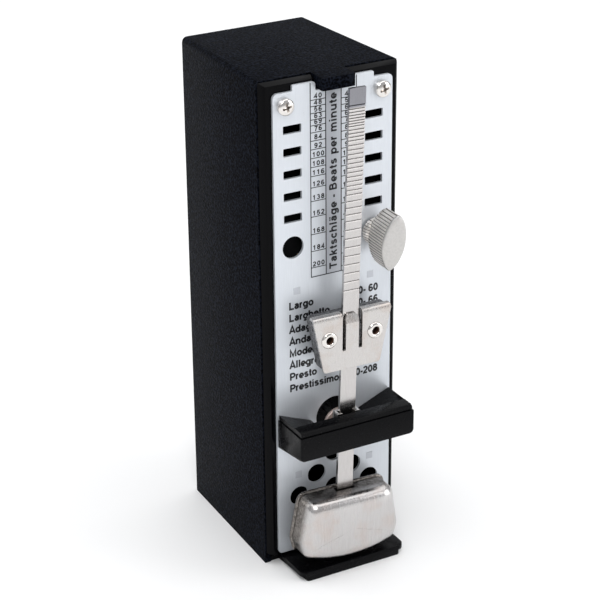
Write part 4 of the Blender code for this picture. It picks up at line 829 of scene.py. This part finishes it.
def build_plate_screws():
    head_front, head_r, seat = depth(SCREW_FRONT), SCREW_R, depth(-3.35 * MM)
    dome = [(head_r * math.sin(a), head_front + 0.8 * MM * (1 - math.cos(a))) for a in quarter_turn(9)]
    dome[0] = (0.0, head_front)
    for side, word in ((-1, "left"), (1, "right")):
        centre = (side * PLATE_SCREW[0], PLATE_SCREW[1])
        profile = dome + [(head_r, seat - 0.15 * MM), (head_r - 0.15 * MM, seat), (1.2 * MM, seat),
                          (1.2 * MM, depth(0.4 * MM)), (0.0, depth(0.4 * MM))]
        screw = piece(f"plate_screw_{word}_look", turned(profile, "Y", centre, 48), BRIGHT, "case",
                      (f"plate_screw_{word}",), crease=40.0)
        turn = turned_about(*centre, SCREW_TURN)
        for long_side, short_side in ((1.5 * MM, 0.36 * MM), (0.36 * MM, 1.5 * MM)):
            wings = [[Vector((sx * long_side * t, y, sz * short_side * t))
                      for sx, sz in ((-1, -1), (1, -1), (1, 1), (-1, 1))]
                     for t, y in ((1.2, head_front - 0.5 * MM), (0.45, head_front + 1.3 * MM))]
            cut(screw, lofted(wings), turn)
        screw.data.set_sharp_from_angle(angle=math.radians(35))


def build_crossbar():
    """The bar, with its top slab set back a little above a fine groove."""
    low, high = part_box("crossbar")
    bar = refined("crossbar", BAR, 0.22 * MM)
    slab, groove, out = 1.35 * MM, 0.28 * MM, 1.0 * MM
    for inset, z0, z1 in ((0.35 * MM, high.z - slab, high.z + out),
                          (0.75 * MM, high.z - slab - groove, high.z - slab)):
        cut(bar, block((low.x - out, high.x + out), (low.y - out, low.y + inset), (z0, z1)))
        cut(bar, block((low.x - out, low.x + inset), (low.y - out, high.y + out), (z0, z1)))
        cut(bar, block((high.x - inset, high.x + out), (low.y - out, high.y + out), (z0, z1)))


# Key

def key_half_thickness(share, half_t):
    """Half thickness of the wing at a share of its half height: a lens with rounded tips."""
    return half_t * max(0.0, 1.0 - share ** 2) ** 0.66


def key_ring(half_t, half_h, y, ribs):
    """Section across the wing; the ribs run back from the face and lie across its height."""
    steps_per_rib = 6
    rows = 2 * round(KEY_HALF_H / KEY_RIB_PITCH) * steps_per_rib
    shares = [1.0 - 2.0 * k / rows for k in range(rows + 1)]
    ring = []
    for side in (1, -1):
        for share in (shares[:-1] if side == 1 else shares[:0:-1]):
            groove = 1.0 - abs(math.sin(math.pi * share * KEY_HALF_H / KEY_RIB_PITCH))
            reach = key_half_thickness(share, half_t)
            cut_depth = ribs * KEY_RIB_DEPTH * groove * min(1.0, 2.5 * reach / half_t)
            ring.append(Vector((side * (reach - cut_depth), y, share * half_h)))
    return ring


def build_key():
    face = depth(KEY_FRONT)
    stations = [(1.2, 4.5, -0.14, 0.0), (2.3, 6.4, -0.12, 0.0), (3.1, 7.5, -0.06, 0.0),
                (3.55, 8.0, 0.06, 0.0), (3.72, 8.17, 0.3, 0.0), (3.76, 8.2, 0.55, 0.0),
                (3.66, 8.18, 0.68, 0.6), (3.72, 8.2, 0.85, 1.0), (3.55, 8.2, 6.2, 1.0),
                (3.50, 8.0, 7.2, 1.0), (3.4, 7.4, 8.2, 1.0), (3.2, 6.5, 9.0, 1.0),
                (3.0, 5.4, 9.6, 0.7), (2.7, 4.6, 9.85, 0.2)]
    rings = [key_ring(half_t * MM, half_h * MM, face + back * MM, ribs)
             for half_t, half_h, back, ribs in stations]
    wing = lofted(rings)
    bmesh.ops.transform(wing, matrix=turned_about(KEY_X, KEY_Z, KEY_LEAN), verts=wing.verts[:])
    collar_r, foot = 3.95 * MM, depth(-3.95 * MM)
    shoulder = [(collar_r * math.sin(a), depth(-4.6 * MM) - 2.9 * MM * math.cos(a))
                for a in quarter_turn(8)]
    shoulder[0] = (0.0, shoulder[0][1])
    collar = turned(shoulder + [(collar_r, foot), (0.0, foot)], "Y", (KEY_X, KEY_Z), 64)
    piece("winding_key_look", merged(wing, collar), KEY, "key", ("winding_key",), crease=38.0)


# Pendulum, modelled upright around its pivot and then tilted

def build_rod_parts():
    frame["nodes"]["pendulum_rod"].material_slots[0].material = ROD
    refined("rod_clip", BRIGHT, 0.10 * MM)
    refined("pendulum_hub", PINK, 0.15 * MM)


def bob_ring(inset, y, grow=1.0):
    """Front outline of the bob: flared sides, rounded corners and an arc round the pivot below."""
    arc_r = 41.4 * MM - inset
    low = [(arc_r * math.sin(math.radians(a)), -arc_r * math.cos(math.radians(a)), 0.0)
           for a in (0.0, 4.5, 9.0, 13.5)]
    side = low + [(15.1 * MM - inset, -38.9 * MM + inset, 2.6 * MM),
                  (16.35 * MM - inset, -34.0 * MM, 6.0 * MM),
                  (14.0 * MM - inset, BOB_TOP - inset, 2.7 * MM)]
    outline = rounded(side + [(-u, v, r) for u, v, r in reversed(side[1:])], 6)
    centre = -31.0 * MM
    return [Vector((u * grow, depth(y), centre + (v - centre) * grow)) for u, v in outline]


def build_bob():
    radius = 3.2 * MM
    edge = BOB_FRONT + 0.30 * MM
    rings = [bob_ring(-0.15 * MM, BOB_BACK), bob_ring(-0.25 * MM, BOB_BACK - 0.12 * MM),
             bob_ring(-0.25 * MM, BOB_BACK - 0.70 * MM), bob_ring(-0.05 * MM, BOB_BACK - 0.85 * MM),
             bob_ring(0.22 * MM, BOB_BACK - 0.95 * MM), bob_ring(0.22 * MM, BOB_BACK - 1.6 * MM),
             bob_ring(0.25 * MM, edge + radius)]
    for k in range(1, 13):
        angle = math.radians(80 * k / 12)
        rings.append(bob_ring(0.25 * MM + radius * (1 - math.cos(angle)),
                              edge + radius * (1 - math.sin(angle))))
    for inset, back in ((3.3, 0.22), (3.6, 0.21), (3.9, 0.17), (4.3, 0.15)):
        rings.append(bob_ring(inset * MM, BOB_FRONT + back * MM))
    for grow, back in ((0.85, 0.11), (0.6, 0.05), (0.3, 0.01), (0.08, 0.0)):
        rings.append(bob_ring(4.3 * MM, BOB_FRONT + back * MM, grow))
    bob = piece("bob_shell_look", lofted(rings), BOB, "pendulum", ("bob_shell", "bob_weight"),
                place=SWUNG, crease=60.0)
    pocket = oblong((-3.1 * MM, 3.1 * MM), (depth(-11.5 * MM), depth(-9.3 * MM)), 0.4 * MM)
    cut(bob, extruded(pocket, [], "Z", -38.0 * MM, -18.0 * MM), SWUNG)
    bob.data.set_sharp_from_angle(angle=math.radians(60))


def slider_half_width(z):
    share = (z - SLIDER_BOTTOM) / (SLIDER_TOP - SLIDER_BOTTOM)
    return SLIDER_BOTTOM_HALF_W + (SLIDER_TOP_HALF_W - SLIDER_BOTTOM_HALF_W) * share


def build_slider():
    roll_z = SLIDER_TOP - SLIDER_ROLL
    side = [(slider_half_width(SLIDER_BOTTOM), SLIDER_BOTTOM, 0.9 * MM),
            (slider_half_width(roll_z), roll_z, 0.0), (SLIT_OUT, roll_z, 0.0),
            (SLIT_OUT, SLIT_BOTTOM, 0.28 * MM), (SLIT_IN, SLIT_BOTTOM, 0.28 * MM),
            (SLIT_IN, SLIDER_FOLD, 0.0)]
    outline = rounded(mirrored(side), 4)
    eyes = [circle(s * EYELET[0], EYELET[1], 1.7 * MM, 32) for s in (-1, 1)]
    front, back = depth(SLIDER_FRONT), depth(SLIDER_FRONT + SLIDER_SHEET)
    piece("slider_plate_look", extruded(outline, eyes, "Y", front, back), SATIN, "slider",
          ("slider_plate",), 0.12 * MM, LEANING)
    tongue = []
    for rise, w, lean in ((0.0, SLIT_IN, 0.0), (1.4 * MM, SLIT_IN, 0.40 * MM),
                          (2.35 * MM, 1.4 * MM, 0.68 * MM), (2.5 * MM, 1.2 * MM, 0.74 * MM)):
        y0, y1, z = front + lean, back + 0.6 * lean, SLIDER_FOLD + rise
        tongue.append([Vector((-w, y0, z)), Vector((w, y0, z)), Vector((w, y1, z)), Vector((-w, y1, z))])
    piece("slider_tongue", lofted(tongue), SATIN, "slider", place=LEANING, crease=12.0)
    rolls = []
    inner_r, far = SLIDER_ROLL - SLIDER_SHEET, depth(SLIDER_ROLL_BACK)
    for s in (-1, 1):
        outer = [(front + SLIDER_ROLL * (1 - math.cos(a)), roll_z + SLIDER_ROLL * math.sin(a))
                 for a in quarter_turn(8)]
        inner = [(back + inner_r * (1 - math.cos(a)), roll_z + inner_r * math.sin(a))
                 for a in quarter_turn(8)]
        profile = outer + [(far, SLIDER_TOP), (far, SLIDER_TOP - SLIDER_SHEET)] + list(reversed(inner))
        ends = sorted((s * SLIT_OUT, s * slider_half_width(roll_z)))
        rolls.append(extruded(profile, [], "X", *ends))
    piece("slider_rolled_edge", merged(*rolls), SATIN, "slider", bevel=0.10 * MM, place=LEANING)
    refined("slider_weight", CASTING, 0.25 * MM)
    for s, word in ((-1, "left"), (1, "right")):
        lip = [(1.12, -11.9), (1.14, -12.55), (1.26, -12.80), (1.5, -12.90), (1.85, -12.88), (2.2, -12.76),
               (2.45, -12.55), (2.52, -12.33), (1.45, -12.31), (1.45, -7.8), (1.12, -7.8)]
        profile = [(r * MM, depth(y * MM)) for r, y in lip]
        piece(f"slider_eyelet_{word}_look", turned(profile, "Y", (s * EYELET[0], EYELET[1]), 48), BRIGHT,
              "slider", (f"slider_eyelet_{word}",), place=LEANING, crease=50.0)
        lining = [(0.95 * MM, depth(-12.2 * MM)), (1.11 * MM, depth(-12.4 * MM)),
                  (1.11 * MM, depth(-8.2 * MM)), (0.0, depth(-8.2 * MM)), (0.0, depth(-9.2 * MM)),
                  (0.95 * MM, depth(-9.2 * MM))]
        piece(f"slider_bore_{word}", turned(lining, "Y", (s * EYELET[0], EYELET[1]), 32), BORE, "slider",
              place=LEANING, crease=50.0)


# Everything else keeps its CAD shape

def dress_cad_nodes():
    for node, obj in frame["nodes"].items():
        obj.material_slots[0].material = LOOK_OF_SLOT[SLOT_OF[node]]


# Stage

def add_area(name, place, aim, size, power):
    light = bpy.data.lights.new(name, "AREA")
    light.shape = "RECTANGLE"
    light.size, light.size_y = size
    light.energy = power
    obj = bpy.data.objects.new(name, light)
    obj.location = place
    obj.rotation_euler = (Vector(aim) - Vector(place)).to_track_quat("-Z", "Y").to_euler()
    bpy.context.scene.collection.objects.link(obj)


def build_stage():
    mesh = bpy.data.meshes.new("floor")
    reach = 3.0
    mesh.from_pydata([(-reach, -reach, 0), (reach, -reach, 0), (reach, reach, 0), (-reach, reach, 0)], [],
                     [(0, 1, 2, 3)])
    paint = Finish("floor_pale", (0.90, 0.90, 0.90), 0.8, Specular_IOR_Level=0.2)
    paint.bump(paint.noise((2 * MM,) * 3), 0.02 * MM, 0.2)
    mesh.materials.append(paint.material)
    floor = bpy.data.objects.new("floor", mesh)
    bpy.context.scene.collection.objects.link(floor)
    build_world()
    aim = (0.0, 0.0, 0.08)
    add_area("overhead_light", (0.0, 0.3, 2.2), (0.0, 0.3, 0.0), (3.4, 3.4), 47.0)
    add_area("key_light", (-0.50, -0.95, 0.95), aim, (0.45, 0.45), 5.0)
    add_area("fill_light", (1.0, -0.8, 0.40), aim, (0.5, 0.9), 5.0)
    add_area("side_light", (-1.3, 2.0, 0.9), aim, (1.5, 1.5), 8.0)


def build_world():
    """Soft studio surroundings: pale above, dimmer towards the horizon."""
    world = bpy.data.worlds.new("studio")
    world.use_nodes = True
    nodes, links = world.node_tree.nodes, world.node_tree.links
    split = nodes.new("ShaderNodeSeparateXYZ")
    links.new(nodes.new("ShaderNodeTexCoord").outputs["Generated"], split.inputs[0])
    ramp = nodes.new("ShaderNodeValToRGB")
    ramp.color_ramp.elements[0].color = (0.78, 0.79, 0.81, 1.0)
    ramp.color_ramp.elements[1].color = (0.85, 0.86, 0.88, 1.0)
    links.new(split.outputs["Z"], ramp.inputs["Fac"])
    links.new(ramp.outputs["Color"], nodes["Background"].inputs["Color"])
    nodes["Background"].inputs["Strength"].default_value = 0.6
    bpy.context.scene.world = world
    bpy.context.scene.view_settings.view_transform = "Standard"


def build_camera():
    camera = bpy.data.cameras.new("camera")
    camera.lens = CAMERA_LENS
    camera.sensor_width = 36.0
    camera.clip_start = 0.01
    obj = bpy.data.objects.new("camera", camera)
    heading = Matrix.Rotation(math.radians(-CAMERA_AZIMUTH), 4, "Z")
    pitch = Matrix.Rotation(math.radians(90 - CAMERA_ELEVATION), 4, "X")
    roll = Matrix.Rotation(math.radians(CAMERA_ROLL), 4, "Z")
    obj.matrix_world = Matrix.Translation(CAMERA_PLACE) @ heading @ pitch @ roll
    bpy.context.scene.collection.objects.link(obj)
    bpy.context.scene.camera = obj


def main():
    dress_cad_nodes()
    build_case()
    build_plate()
    build_scale()
    build_plate_screws()
    build_crossbar()
    build_key()
    build_rod_parts()
    build_bob()
    build_slider()
    build_stage()
    build_camera()


main()
